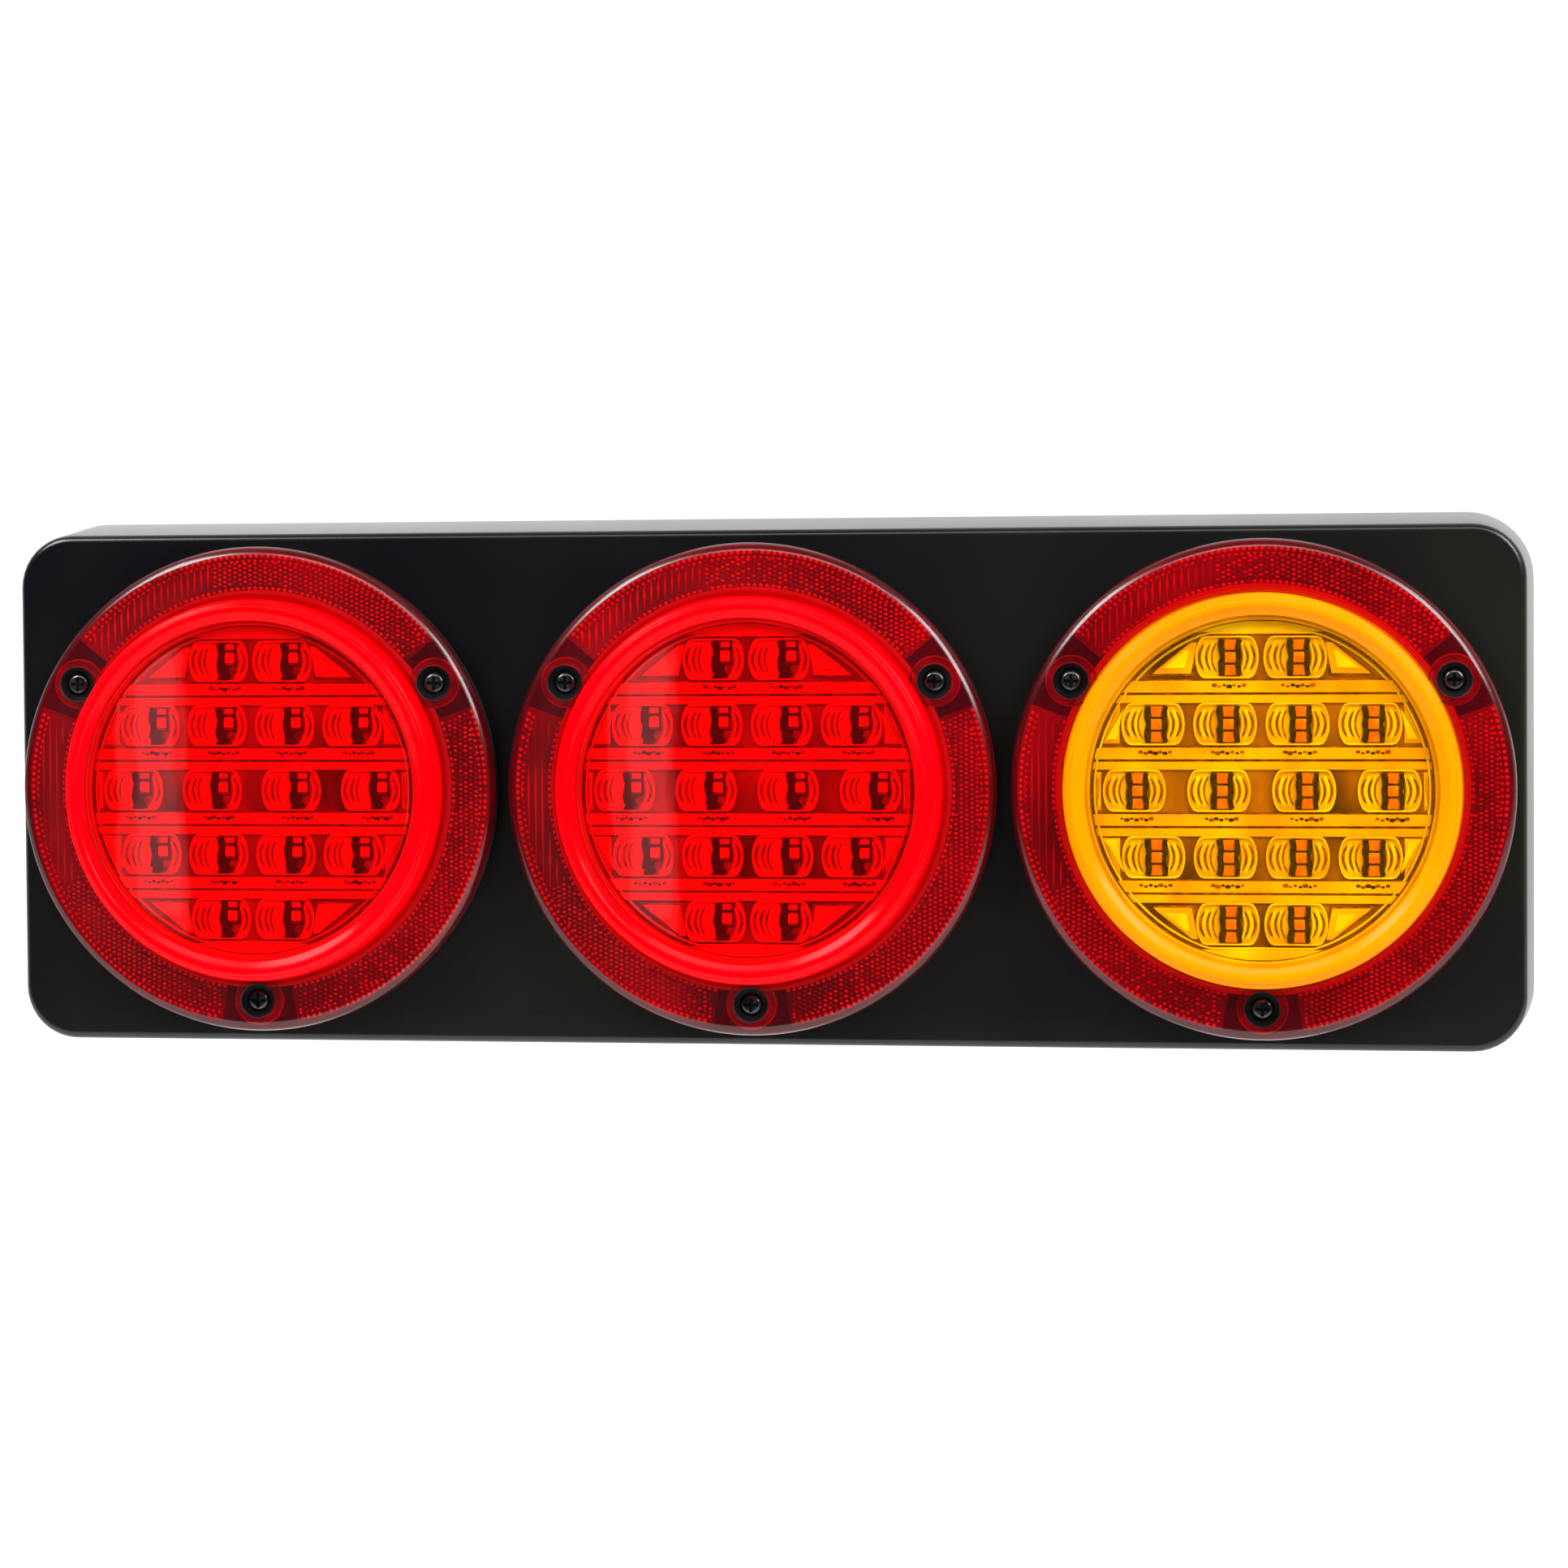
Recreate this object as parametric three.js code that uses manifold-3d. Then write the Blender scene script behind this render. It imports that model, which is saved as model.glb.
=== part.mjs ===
// A triple round LED rear lamp for a trailer: a black moulded box whose front plate carries three
// round lamp units in a row, two red and one amber, each inside a red reflector ring.
//
// Millimetres, +Z up. The front faces -Y and the open back faces +Y, towards the vehicle.
// The origin is the middle of the plane that the box's back rim rests on.
import * as THREE from 'three';
import { mergeVertices } from 'three/addons/utils/BufferGeometryUtils.js';
import Module from 'manifold-3d';

const wasm = await Module();
wasm.setup();

// ---------------------------------------------------------------- driving dimensions
const UNIT_PITCH = 144;
const UNITS = [
  { name: 'left', x: -UNIT_PITCH, tint: 0xe00000, terminals: 3 },
  { name: 'middle', x: 0, tint: 0xe00000, terminals: 3 },
  { name: 'right', x: UNIT_PITCH, tint: 0xff9a00, terminals: 2 },
];
const ROUND_STEPS = 32;
const SMALL_STEPS = 10;
const HIDDEN_STEPS = 8;          // for small round shapes that nothing shows
const GAP = 0.3;                 // between pieces that touch
const OVERLAP = 0.5;             // how far joined shapes reach into each other
const OVERRUN = 1;               // how far a cutting shape runs past what it cuts
const SAME_POINT = 1e-4;

// reflector ring
const RING_R = 70;
const RING_INNER_R = 55.6;
const RING_FRONT = 10;           // proud of the front plate
const RING_LIP = 1.7;            // lip that holds the lens flange
const RING_CHAMFER = 0.8;
const SCREW_CIRCLE_R = 61;
const SCREW_ANGLES = [30, 150, 270].map(THREE.MathUtils.degToRad);

// box
const EDGE_MARGIN_X = 3;
const EDGE_MARGIN_Z = 3.5;
const BOX_W = 2 * (UNIT_PITCH + RING_R + EDGE_MARGIN_X);
const BOX_H = 2 * (RING_R + EDGE_MARGIN_Z);
const BOX_DEPTH = 34;
const BOX_FLARE = 4;             // how much wider each side is at the back
const BOX_CORNER_R = 15;
const BOX_WALL = 3;
const BOX_EDGE_R = 2;
const CORNER_DIVISIONS = 3;      // of a quarter turn, as three.js counts an arc
const BOX_EDGE_PARTS = [0, 0.5, 1];
const LAMP_HOLE_R = 50.5;

// layers of a lamp unit, as distances proud of the front plate
const GASKET_T = 0.9;
const BASE_SEAT_T = 1.1;
const BASE_T = 3.3;
const FLANGE_T = 1.9;
const SEAL_T = 0.9;
const LENS_FLANGE_T = 1.7;
const gasketBack = GAP;
const baseBack = gasketBack + GASKET_T + GAP;
const baseSeat = baseBack + BASE_SEAT_T;
const baseFront = baseBack + BASE_T;
const flangeBack = baseSeat + GAP;
const flangeFront = flangeBack + FLANGE_T;
const sealBack = flangeFront + GAP;
const lensBack = sealBack + SEAL_T + GAP;
const lensFlangeFront = lensBack + LENS_FLANGE_T;
const ringBack = baseFront + GAP;
const FLANGE_R = 57.4;
const BASE_R = RING_R - 0.4;
const BASE_INNER_R = LAMP_HOLE_R - 0.2;
const GASKET_R = RING_R - 0.6;
const GASKET_INNER_R = LAMP_HOLE_R + 0.5;
const SEAL_R = FLANGE_R - 0.4;
const SEAL_W = 4;

// lens
const LENS_R = 55;
const LENS_INNER_R = 52.2;
const LENS_CROWN = 18;
const WINDOW_FRONT = 16.4;
const WINDOW_T = 2.4;
const WINDOW_R = 48.4;
const LENS_STEP = 1.6;           // from the window's edge out to the crown
const LENS_BEVEL_W = 2;
const LENS_BEVEL_T = 2.4;
const CLEARANCE = 0.4;           // of the optic plate inside the lens

// optic plate and its rows of cells
const OPTIC_R = LENS_INNER_R - CLEARANCE;
const OPTIC_SKIRT_R = OPTIC_R - 2;
const OPTIC_BACK = 11;
const OPTIC_FRONT = 12.6;
const CELL_FRONT = WINDOW_FRONT - WINDOW_T - CLEARANCE;
const CELL_W = 17.4;
const CELL_H = 11.6;
const CELL_CUP = 9;
const CELL_CUP_BACK = 7;
const ROW_PITCH = 18.5;
const ROWS = [
  { z: 2 * ROW_PITCH, pitch: 18.8, cells: 2 },
  { z: ROW_PITCH, pitch: 19.9, cells: 4 },
  { z: 0, pitch: 23.4, cells: 4 },
  { z: -ROW_PITCH, pitch: 19.9, cells: 4 },
  { z: -2 * ROW_PITCH, pitch: 18.8, cells: 2 },
];
const BAR_DROP = 7.75;           // from a row's middle down to the bar under it
const BAR_H = 3.4;
const BAR_FRONT = 13.2;

// lamp body
const BODY_R = 49.8;
const BODY_INNER_R = 45.2;
const BODY_WALL = 2.5;
const BODY_BACK = -22;
const BODY_CHAMFER = 2.4;
const LEDGE = flangeBack - 0.4;    // what the circuit board rests on
const LEDGE_R = 47.5;

// circuit board with its LEDs
const BOARD_R = 47;
const BOARD_T = 1.6;
const LED_SIZE = 5;
const LED_T = 1.6;
const DRIVER_X = 24;             // four driver chips behind the board
const DRIVER_Z = 16;
const DRIVER_W = 7;
const DRIVER_H = 4.5;
const DRIVER_T = 2.4;

// socket at the back of the lamp body
const SOCKET_W = 34;
const SOCKET_H = 17;
const SOCKET_WALL = 1.8;
const SOCKET_CORNER_R = 4;
const SOCKET_DEPTH = 8;
const TERMINAL_PITCH = 8;
const TERMINAL_T = 0.8;
const TERMINAL_W = 6.3;
const TERMINAL_INSET = 2;        // from the socket's rim to a terminal's tip

// ring screws: self-tapping, pan head, cross recess
const SCREW_R = 1.9;
const SCREW_HEAD_R = 3.3;
const SCREW_HEAD_T = 2.3;
const SCREW_TOP_R = 2.5;
const SCREW_RIM_T = 1.15;
const SCREW_POINT = 3.8;
const SCREW_SEAT = 6.6;          // floor of the ring's recess
const SCREW_END = -8;
const SCREW_HOLE_R = SCREW_R + GAP;
const RECESS_R = 4.7;
const CROSS_L = 3.6;
const CROSS_W = 0.9;
const CROSS_DEPTH = 1.3;
const BOSS_R = 4.5;
const BOSS_L = 8;

// mounting straps across the back of the box, with their studs and nuts
const STRAP_X = UNIT_PITCH / 2;
const STRAP_W = 22;
const STRAP_H = 122;
const STRAP_T = 3;
const STRAP_BACK = -4;
const STRAP_CORNER_R = 5;
const STRAP_CLEARANCE = 0.7;     // round the stud and the screws
const POST_Z = 52;
const POST_R = 5;
const POST_HOLE_DEPTH = 11;
const GUSSET_T = 2;
const GUSSET_STEP = 4;           // from the post's end down to the gusset's
const STUD_R = 4;
const STUD_END = 22;
const HEX_R = 7.5;               // to the corners of a 13 mm hexagon
const STUD_HEAD_T = 5.3;
const NUT_FRONT = 6;
const NUT_T = 6;
const NUT_FLANGE_R = 8.9;
const NUT_FLANGE_T = 1.6;

// ---------------------------------------------------------------- materials
const plain = (color, roughness, metalness = 0) =>
  new THREE.MeshStandardMaterial({ color, roughness, metalness });
const clear = (color) =>
  new THREE.MeshStandardMaterial({ color, roughness: 0.05, transparent: true, opacity: 0.6 });
const blackPlastic = plain(0x15161a, 0.3);
const satinBlack = plain(0x101012, 0.5);
const ringRed = plain(0xa00008, 0.15);
const rubber = plain(0x1c1c1c, 0.9);
const boardGreen = plain(0x1f4d33, 0.6);
const brass = plain(0xb99a4f, 0.3, 1);
const zinc = plain(0xb4b8bb, 0.35, 1);
const blackScrew = plain(0x0c0c0d, 0.35, 0.6);

// ---------------------------------------------------------------- solids
// Turns a closed three.js geometry into a solid, with its faces pointing out.
function solidOf(geometry) {
  const bare = geometry.clone();
  bare.deleteAttribute('normal');
  bare.deleteAttribute('uv');
  const { index, attributes } = mergeVertices(bare, SAME_POINT);
  const points = attributes.position;
  const corner = (i) => new THREE.Vector3().fromBufferAttribute(points, i);
  const faces = [];
  let volume = 0;
  for (let i = 0; i < index.count; i += 3) {
    const [a, b, c] = [index.getX(i), index.getX(i + 1), index.getX(i + 2)];
    if (a === b || b === c || c === a) continue;
    faces.push([a, b, c]);
    volume += corner(a).dot(corner(b).cross(corner(c)));
  }
  const outward = volume > 0 ? faces : faces.map(([a, b, c]) => [a, c, b]);
  const mesh = new wasm.Mesh({
    numProp: 3,
    vertProperties: new Float32Array(points.array),
    triVerts: new Uint32Array(outward.flat()),
  });
  mesh.merge();
  return new wasm.Manifold(mesh);
}

function geometryOf(solid) {
  const mesh = solid.getMesh();
  const geometry = new THREE.BufferGeometry();
  geometry.setAttribute('position', new THREE.BufferAttribute(mesh.vertProperties, 3));
  geometry.setIndex(new THREE.BufferAttribute(mesh.triVerts, 1));
  geometry.computeVertexNormals();
  return geometry;
}

const joined = (first, ...rest) => rest.reduce((sum, next) => sum.add(next), first);
const cut = (first, ...rest) => rest.reduce((sum, next) => sum.subtract(next), first);

// The y of a point that stands so far proud of the box's front plate.
const proud = (distance) => -BOX_DEPTH - distance;

// A body turned about the Y axis, from a profile of [radius, y].
function turned(profile, steps = ROUND_STEPS) {
  const points = profile.map(([radius, y]) => new THREE.Vector2(radius, y));
  const onAxis = profile[0][0] === 0;
  if (!onAxis) points.push(points[0].clone());
  return solidOf(new THREE.LatheGeometry(points, steps));
}

// The same, with the profile's heights given as distances proud of the front plate.
const turnedProud = (profile, steps) =>
  turned(profile.map(([radius, distance]) => [radius, proud(distance)]), steps);

// A round bar along Y.
function bar(radius, y0, y1, x = 0, z = 0, steps = SMALL_STEPS) {
  const geometry = new THREE.CylinderGeometry(radius, radius, Math.abs(y1 - y0), steps);
  geometry.translate(x, (y0 + y1) / 2, z);
  return solidOf(geometry);
}

function block(width, height, y0, y1, x = 0, z = 0) {
  const geometry = new THREE.BoxGeometry(width, Math.abs(y1 - y0), height);
  geometry.translate(x, (y0 + y1) / 2, z);
  return solidOf(geometry);
}

function roundedRectangle(width, height, radius) {
  const [x, z] = [width / 2 - radius, height / 2 - radius];
  const quarter = Math.PI / 2;
  const shape = new THREE.Shape();
  shape.absarc(x, z, radius, 0, quarter);
  shape.absarc(-x, z, radius, quarter, 2 * quarter);
  shape.absarc(-x, -z, radius, 2 * quarter, 3 * quarter);
  shape.absarc(x, -z, radius, 3 * quarter, 4 * quarter);
  shape.closePath();
  return shape;
}

// A flat plate of the outline, from y0 back to y1.
function plate(shape, y0, y1, curveSegments = 2) {
  const geometry = new THREE.ExtrudeGeometry(shape, {
    depth: y1 - y0,
    bevelEnabled: false,
    curveSegments,
  });
  geometry.rotateX(Math.PI / 2);
  geometry.translate(0, y1, 0);
  return solidOf(geometry);
}

// A body through rings of points that each lie at their own y.
function lofted(rings) {
  const count = rings[0].points.length;
  const positions = rings.flatMap(({ points, y }) => points.flatMap((p) => [p.x, y, p.y]));
  const faces = [];
  for (let ring = 0; ring < rings.length - 1; ring += 1) {
    for (let i = 0; i < count; i += 1) {
      const a = ring * count + i;
      const b = ring * count + ((i + 1) % count);
      faces.push(a, b, b + count, a, b + count, a + count);
    }
  }
  const last = (rings.length - 1) * count;
  for (let i = 1; i < count - 1; i += 1) {
    faces.push(0, i + 1, i, last, last + i, last + i + 1);
  }
  const geometry = new THREE.BufferGeometry();
  geometry.setAttribute('position', new THREE.Float32BufferAttribute(positions, 3));
  geometry.setIndex(faces);
  return solidOf(geometry);
}

// ---------------------------------------------------------------- scene graph
const lamp = new THREE.Group();

function place(name, solid, material, parent = lamp) {
  const mesh = new THREE.Mesh(geometryOf(solid), material);
  mesh.name = name;
  parent.add(mesh);
  return mesh;
}

// Where the three ring screws stand round a lamp unit's axis.
const screwPlaces = SCREW_ANGLES.map((angle) => ({
  x: SCREW_CIRCLE_R * Math.cos(angle),
  z: SCREW_CIRCLE_R * Math.sin(angle),
}));

// ---------------------------------------------------------------- box
// The box's outline at a depth: the sides lean outward towards the back.
function boxOutline(y, inset) {
  const offset = BOX_FLARE * (y + BOX_DEPTH) / BOX_DEPTH - inset;
  const shape = roundedRectangle(BOX_W + 2 * offset, BOX_H + 2 * offset, BOX_CORNER_R + offset);
  const points = shape.getPoints(CORNER_DIVISIONS);
  if (points[0].distanceTo(points.at(-1)) < SAME_POINT) points.pop();
  return { points, y };
}

function makeBox() {
  const edge = BOX_EDGE_PARTS.map((part) => {
    const angle = part * Math.PI / 2;
    const y = -BOX_DEPTH + BOX_EDGE_R * (1 - Math.cos(angle));
    return boxOutline(y, BOX_EDGE_R * (1 - Math.sin(angle)));
  });
  const outside = lofted([...edge, boxOutline(0, 0)]);
  const plateBack = -BOX_DEPTH + BOX_WALL;
  const plateFront = -BOX_DEPTH - OVERRUN;
  const inside = lofted([boxOutline(plateBack, BOX_WALL), boxOutline(OVERLAP, BOX_WALL)]);
  let box = cut(outside, inside);
  for (const unit of UNITS) {
    box = cut(box, bar(LAMP_HOLE_R, plateFront, plateBack + OVERRUN, unit.x, 0, ROUND_STEPS));
    for (const place of screwPlaces) {
      const [x, z] = [unit.x + place.x, place.z];
      const boss = bar(BOSS_R, plateBack - OVERLAP, plateBack + BOSS_L, x, z, HIDDEN_STEPS);
      const pilot = bar(SCREW_HOLE_R, plateFront, proud(SCREW_END) + OVERRUN, x, z, HIDDEN_STEPS);
      box = cut(joined(box, boss), pilot);
    }
  }
  const postEnd = STRAP_BACK - STRAP_T - GAP;
  for (const side of [-1, 1]) {
    for (const end of [-1, 1]) {
      const x = side * STRAP_X;
      const z = end * POST_Z;
      const post = bar(POST_R, plateBack - OVERLAP, postEnd, x, z, HIDDEN_STEPS);
      const wallZ = end * (BOX_H / 2 - BOX_WALL / 2);
      const gusset = block(
        GUSSET_T, Math.abs(wallZ - z), plateBack - OVERLAP, postEnd - GUSSET_STEP, x, (z + wallZ) / 2,
      );
      const bottom = postEnd - POST_HOLE_DEPTH;
      const pilot = bar(SCREW_HOLE_R, bottom, postEnd + OVERRUN, x, z, HIDDEN_STEPS);
      box = cut(joined(box, post, gusset), pilot);
    }
  }
  return box;
}
place('housing_box', makeBox(), blackPlastic);

// ---------------------------------------------------------------- screws
// A pan-head screw along Y: its head's seat is at y = 0, the head is on -Y, the shank runs to +Y.
function makeScrew(length) {
  const profile = [
    [0, -SCREW_HEAD_T],
    [SCREW_TOP_R, -SCREW_HEAD_T],
    [SCREW_HEAD_R, -SCREW_RIM_T],
    [SCREW_HEAD_R, 0],
    [SCREW_R, 0],
    [SCREW_R, length - SCREW_POINT],
    [0, length],
  ];
  const crossStart = -SCREW_HEAD_T - OVERRUN;
  const crossEnd = -SCREW_HEAD_T + CROSS_DEPTH;
  return cut(
    turned(profile, HIDDEN_STEPS),
    block(CROSS_L, CROSS_W, crossStart, crossEnd),
    block(CROSS_W, CROSS_L, crossStart, crossEnd),
  );
}

// ---------------------------------------------------------------- mounting straps
function strapHole(shape, radius, z) {
  const hole = new THREE.Path();
  hole.absarc(0, z, radius, 0, 2 * Math.PI, true);
  shape.holes.push(hole);
}

function makeStrap() {
  const shape = roundedRectangle(STRAP_W, STRAP_H, STRAP_CORNER_R);
  strapHole(shape, STUD_R + STRAP_CLEARANCE, 0);
  strapHole(shape, SCREW_R + STRAP_CLEARANCE, POST_Z);
  strapHole(shape, SCREW_R + STRAP_CLEARANCE, -POST_Z);
  return plate(shape, STRAP_BACK - STRAP_T, STRAP_BACK, 3);
}

function makeStud() {
  const seat = STRAP_BACK - STRAP_T - GAP;
  return joined(
    bar(HEX_R, seat - STUD_HEAD_T, seat, 0, 0, 6),
    bar(STUD_R, seat - OVERLAP, STUD_END),
  );
}

function makeNut() {
  const flangeEnd = NUT_FRONT + NUT_FLANGE_T;
  return cut(
    joined(
      bar(NUT_FLANGE_R, NUT_FRONT, flangeEnd, 0, 0, 2 * SMALL_STEPS),
      bar(HEX_R, flangeEnd - OVERLAP, flangeEnd + NUT_T, 0, 0, 6),
    ),
    bar(STUD_R + GAP, NUT_FRONT - OVERRUN, flangeEnd + NUT_T + OVERRUN),
  );
}

for (const [name, side] of [['left', -1], ['right', 1]]) {
  const group = new THREE.Group();
  group.position.x = side * STRAP_X;
  lamp.add(group);
  place(`mounting_strap_${name}`, makeStrap(), zinc, group);
  place(`mounting_stud_${name}`, makeStud(), zinc, group);
  place(`flange_nut_${name}`, makeNut(), zinc, group);
  for (const [end, z] of [['upper', POST_Z], ['lower', -POST_Z]]) {
    const screw = place(`strap_screw_${name}_${end}`, makeScrew(POST_HOLE_DEPTH), zinc, group);
    screw.rotation.x = Math.PI;
    screw.position.set(0, STRAP_BACK + GAP, z);
  }
}

// ---------------------------------------------------------------- lamp unit
function makeLens() {
  return turnedProud([
    [0, WINDOW_FRONT],
    [WINDOW_R, WINDOW_FRONT],
    [WINDOW_R + LENS_STEP, LENS_CROWN],
    [LENS_R - LENS_BEVEL_W, LENS_CROWN],
    [LENS_R, LENS_CROWN - LENS_BEVEL_T],
    [LENS_R, lensFlangeFront],
    [FLANGE_R, lensFlangeFront],
    [FLANGE_R, lensBack],
    [LENS_INNER_R, lensBack],
    [LENS_INNER_R, WINDOW_FRONT - WINDOW_T],
    [0, WINDOW_FRONT - WINDOW_T],
  ]);
}

// Every cell's place on the optic plate, one above each LED.
const cellPlaces = ROWS.flatMap(({ z, pitch, cells }) =>
  Array.from({ length: cells }, (_, i) => ({ x: (i - (cells - 1) / 2) * pitch, z })));

function makeOpticPlate() {
  const disc = turnedProud([
    [0, OPTIC_FRONT],
    [OPTIC_R, OPTIC_FRONT],
    [OPTIC_R, sealBack],
    [OPTIC_SKIRT_R, sealBack],
    [OPTIC_SKIRT_R, OPTIC_BACK],
    [0, OPTIC_BACK],
  ]);
  const cells = cellPlaces.flatMap(({ x, z }) => [
    block(CELL_W, CELL_H, proud(OPTIC_FRONT - OVERLAP), proud(CELL_FRONT), x, z),
    block(CELL_CUP, CELL_CUP, proud(OPTIC_BACK + OVERLAP), proud(CELL_CUP_BACK), x, z),
  ]);
  const bars = ROWS.slice(0, -1).map((row) => {
    const z = row.z - BAR_DROP;
    const reach = Math.abs(z) + BAR_H / 2;
    const length = 2 * Math.sqrt(OPTIC_SKIRT_R ** 2 - reach ** 2);
    return block(length, BAR_H, proud(OPTIC_FRONT - OVERLAP), proud(BAR_FRONT), 0, z);
  });
  return joined(disc, ...cells, ...bars);
}

function makeLedBoard() {
  const back = LEDGE + GAP;
  const front = back + BOARD_T;
  const board = turnedProud([[0, front], [BOARD_R, front], [BOARD_R, back], [0, back]]);
  const leds = cellPlaces.map(({ x, z }) =>
    block(LED_SIZE, LED_SIZE, proud(front - OVERLAP), proud(front + LED_T), x, z));
  const drivers = [-DRIVER_X, DRIVER_X].flatMap((x) => [-DRIVER_Z, DRIVER_Z].map((z) =>
    block(DRIVER_W, DRIVER_H, proud(back + OVERLAP), proud(back - DRIVER_T), x, z)));
  return joined(board, ...leds, ...drivers);
}

function terminalPlaces(count) {
  return Array.from({ length: count }, (_, i) => (i - (count - 1) / 2) * TERMINAL_PITCH);
}

function makeLampBody(terminals) {
  const cup = turnedProud([
    [0, BODY_BACK],
    [BODY_R - BODY_CHAMFER, BODY_BACK],
    [BODY_R, BODY_BACK + BODY_CHAMFER],
    [BODY_R, flangeBack],
    [FLANGE_R, flangeBack],
    [FLANGE_R, flangeFront],
    [LEDGE_R, flangeFront],
    [LEDGE_R, LEDGE],
    [BODY_INNER_R, LEDGE],
    [BODY_INNER_R, BODY_BACK + BODY_WALL],
    [0, BODY_BACK + BODY_WALL],
  ]);
  const back = proud(BODY_BACK);
  const rim = back + SOCKET_DEPTH;
  const outside = roundedRectangle(SOCKET_W, SOCKET_H, SOCKET_CORNER_R);
  const inside = roundedRectangle(
    SOCKET_W - 2 * SOCKET_WALL,
    SOCKET_H - 2 * SOCKET_WALL,
    SOCKET_CORNER_R - SOCKET_WALL,
  );
  const collar = cut(plate(outside, back - OVERLAP, rim), plate(inside, back, rim + OVERRUN));
  const [slotW, slotH] = [TERMINAL_T + 2 * GAP, TERMINAL_W + 2 * GAP];
  const slots = terminalPlaces(terminals).map((x) =>
    block(slotW, slotH, back - BODY_WALL - OVERRUN, back + OVERRUN, x));
  return cut(joined(cup, collar), ...slots);
}

function makeTerminal() {
  const back = proud(BODY_BACK) + SOCKET_DEPTH - TERMINAL_INSET;
  return block(TERMINAL_T, TERMINAL_W, proud(LEDGE - GAP), back);
}

function makeRing() {
  const ring = turnedProud([
    [FLANGE_R + GAP, ringBack],
    [RING_R, ringBack],
    [RING_R, RING_FRONT - RING_CHAMFER],
    [RING_R - RING_CHAMFER, RING_FRONT],
    [RING_INNER_R, RING_FRONT],
    [RING_INNER_R, RING_FRONT - RING_LIP],
    [FLANGE_R + GAP, RING_FRONT - RING_LIP],
  ]);
  const holes = screwPlaces.flatMap(({ x, z }) => [
    bar(RECESS_R, proud(SCREW_SEAT), proud(RING_FRONT + OVERRUN), x, z),
    bar(SCREW_HOLE_R, proud(ringBack - OVERRUN), proud(SCREW_SEAT + OVERRUN), x, z, HIDDEN_STEPS),
  ]);
  return cut(ring, ...holes);
}

function makeRingBase() {
  const base = turnedProud([
    [BASE_INNER_R, baseBack],
    [BASE_R, baseBack],
    [BASE_R, baseFront],
    [FLANGE_R + GAP, baseFront],
    [FLANGE_R + GAP, baseSeat],
    [BASE_INNER_R, baseSeat],
  ]);
  const holes = screwPlaces.map(({ x, z }) =>
    bar(SCREW_HOLE_R, proud(baseBack - OVERRUN), proud(baseFront + OVERRUN), x, z, HIDDEN_STEPS));
  return cut(base, ...holes);
}

function makeGasket() {
  const gasketFront = gasketBack + GASKET_T;
  const gasket = turnedProud([
    [GASKET_INNER_R, gasketBack],
    [GASKET_R, gasketBack],
    [GASKET_R, gasketFront],
    [GASKET_INNER_R, gasketFront],
  ]);
  const [start, end] = [proud(gasketBack - OVERRUN), proud(gasketFront + OVERRUN)];
  const holes = screwPlaces.map(({ x, z }) =>
    bar(SCREW_HOLE_R + GAP, start, end, x, z, HIDDEN_STEPS));
  return cut(gasket, ...holes);
}

function makeSeal() {
  return turnedProud([
    [SEAL_R - SEAL_W, sealBack],
    [SEAL_R, sealBack],
    [SEAL_R, sealBack + SEAL_T],
    [SEAL_R - SEAL_W, sealBack + SEAL_T],
  ]);
}

for (const { name, x, tint, terminals } of UNITS) {
  const unit = new THREE.Group();
  unit.position.x = x;
  lamp.add(unit);
  const lensPlastic = clear(tint);
  place(`${name}_lens`, makeLens(), lensPlastic, unit);
  place(`${name}_lens_seal`, makeSeal(), rubber, unit);
  place(`${name}_optic_plate`, makeOpticPlate(), lensPlastic, unit);
  place(`${name}_led_board`, makeLedBoard(), boardGreen, unit);
  place(`${name}_lamp_body`, makeLampBody(terminals), satinBlack, unit);
  place(`${name}_reflector_ring`, makeRing(), ringRed, unit);
  place(`${name}_ring_base`, makeRingBase(), satinBlack, unit);
  place(`${name}_panel_gasket`, makeGasket(), rubber, unit);
  screwPlaces.forEach((spot, i) => {
    const length = SCREW_SEAT + GAP - SCREW_END;
    const screw = place(`${name}_ring_screw_${i + 1}`, makeScrew(length), blackScrew, unit);
    screw.position.set(spot.x, proud(SCREW_SEAT + GAP), spot.z);
  });
  terminalPlaces(terminals).forEach((spot, i) => {
    const terminal = place(`${name}_terminal_${i + 1}`, makeTerminal(), brass, unit);
    terminal.position.x = spot;
  });
}

export default lamp;
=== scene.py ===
import math

import bmesh
import bpy
from mathutils import Matrix, Vector


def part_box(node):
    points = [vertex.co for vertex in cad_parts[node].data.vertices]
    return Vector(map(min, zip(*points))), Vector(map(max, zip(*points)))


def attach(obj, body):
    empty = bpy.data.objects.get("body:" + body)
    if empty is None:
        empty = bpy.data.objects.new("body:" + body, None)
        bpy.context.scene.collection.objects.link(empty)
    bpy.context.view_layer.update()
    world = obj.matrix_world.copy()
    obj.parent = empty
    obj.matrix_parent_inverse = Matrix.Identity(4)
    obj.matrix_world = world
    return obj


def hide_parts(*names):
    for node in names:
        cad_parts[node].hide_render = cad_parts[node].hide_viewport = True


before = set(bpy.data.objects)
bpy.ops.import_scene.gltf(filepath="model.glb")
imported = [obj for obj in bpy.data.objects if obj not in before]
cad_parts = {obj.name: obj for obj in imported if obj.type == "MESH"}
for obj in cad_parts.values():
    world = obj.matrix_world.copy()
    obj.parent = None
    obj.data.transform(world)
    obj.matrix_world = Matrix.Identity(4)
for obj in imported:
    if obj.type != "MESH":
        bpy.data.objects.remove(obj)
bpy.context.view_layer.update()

# ---- sizes from the frame, in mm
MM = 0.001
UNITS = {"left": "red", "middle": "red", "right": "amber"}
TERMINALS = {"left": 3, "middle": 3, "right": 2}


def cad(node):
    """A CAD node's lowest and highest corner, in millimetres."""
    low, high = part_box(node)
    return low / MM, high / MM


def cad_and_middle(node):
    low, high = cad(node)
    return low, high, (low + high) / 2


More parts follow.
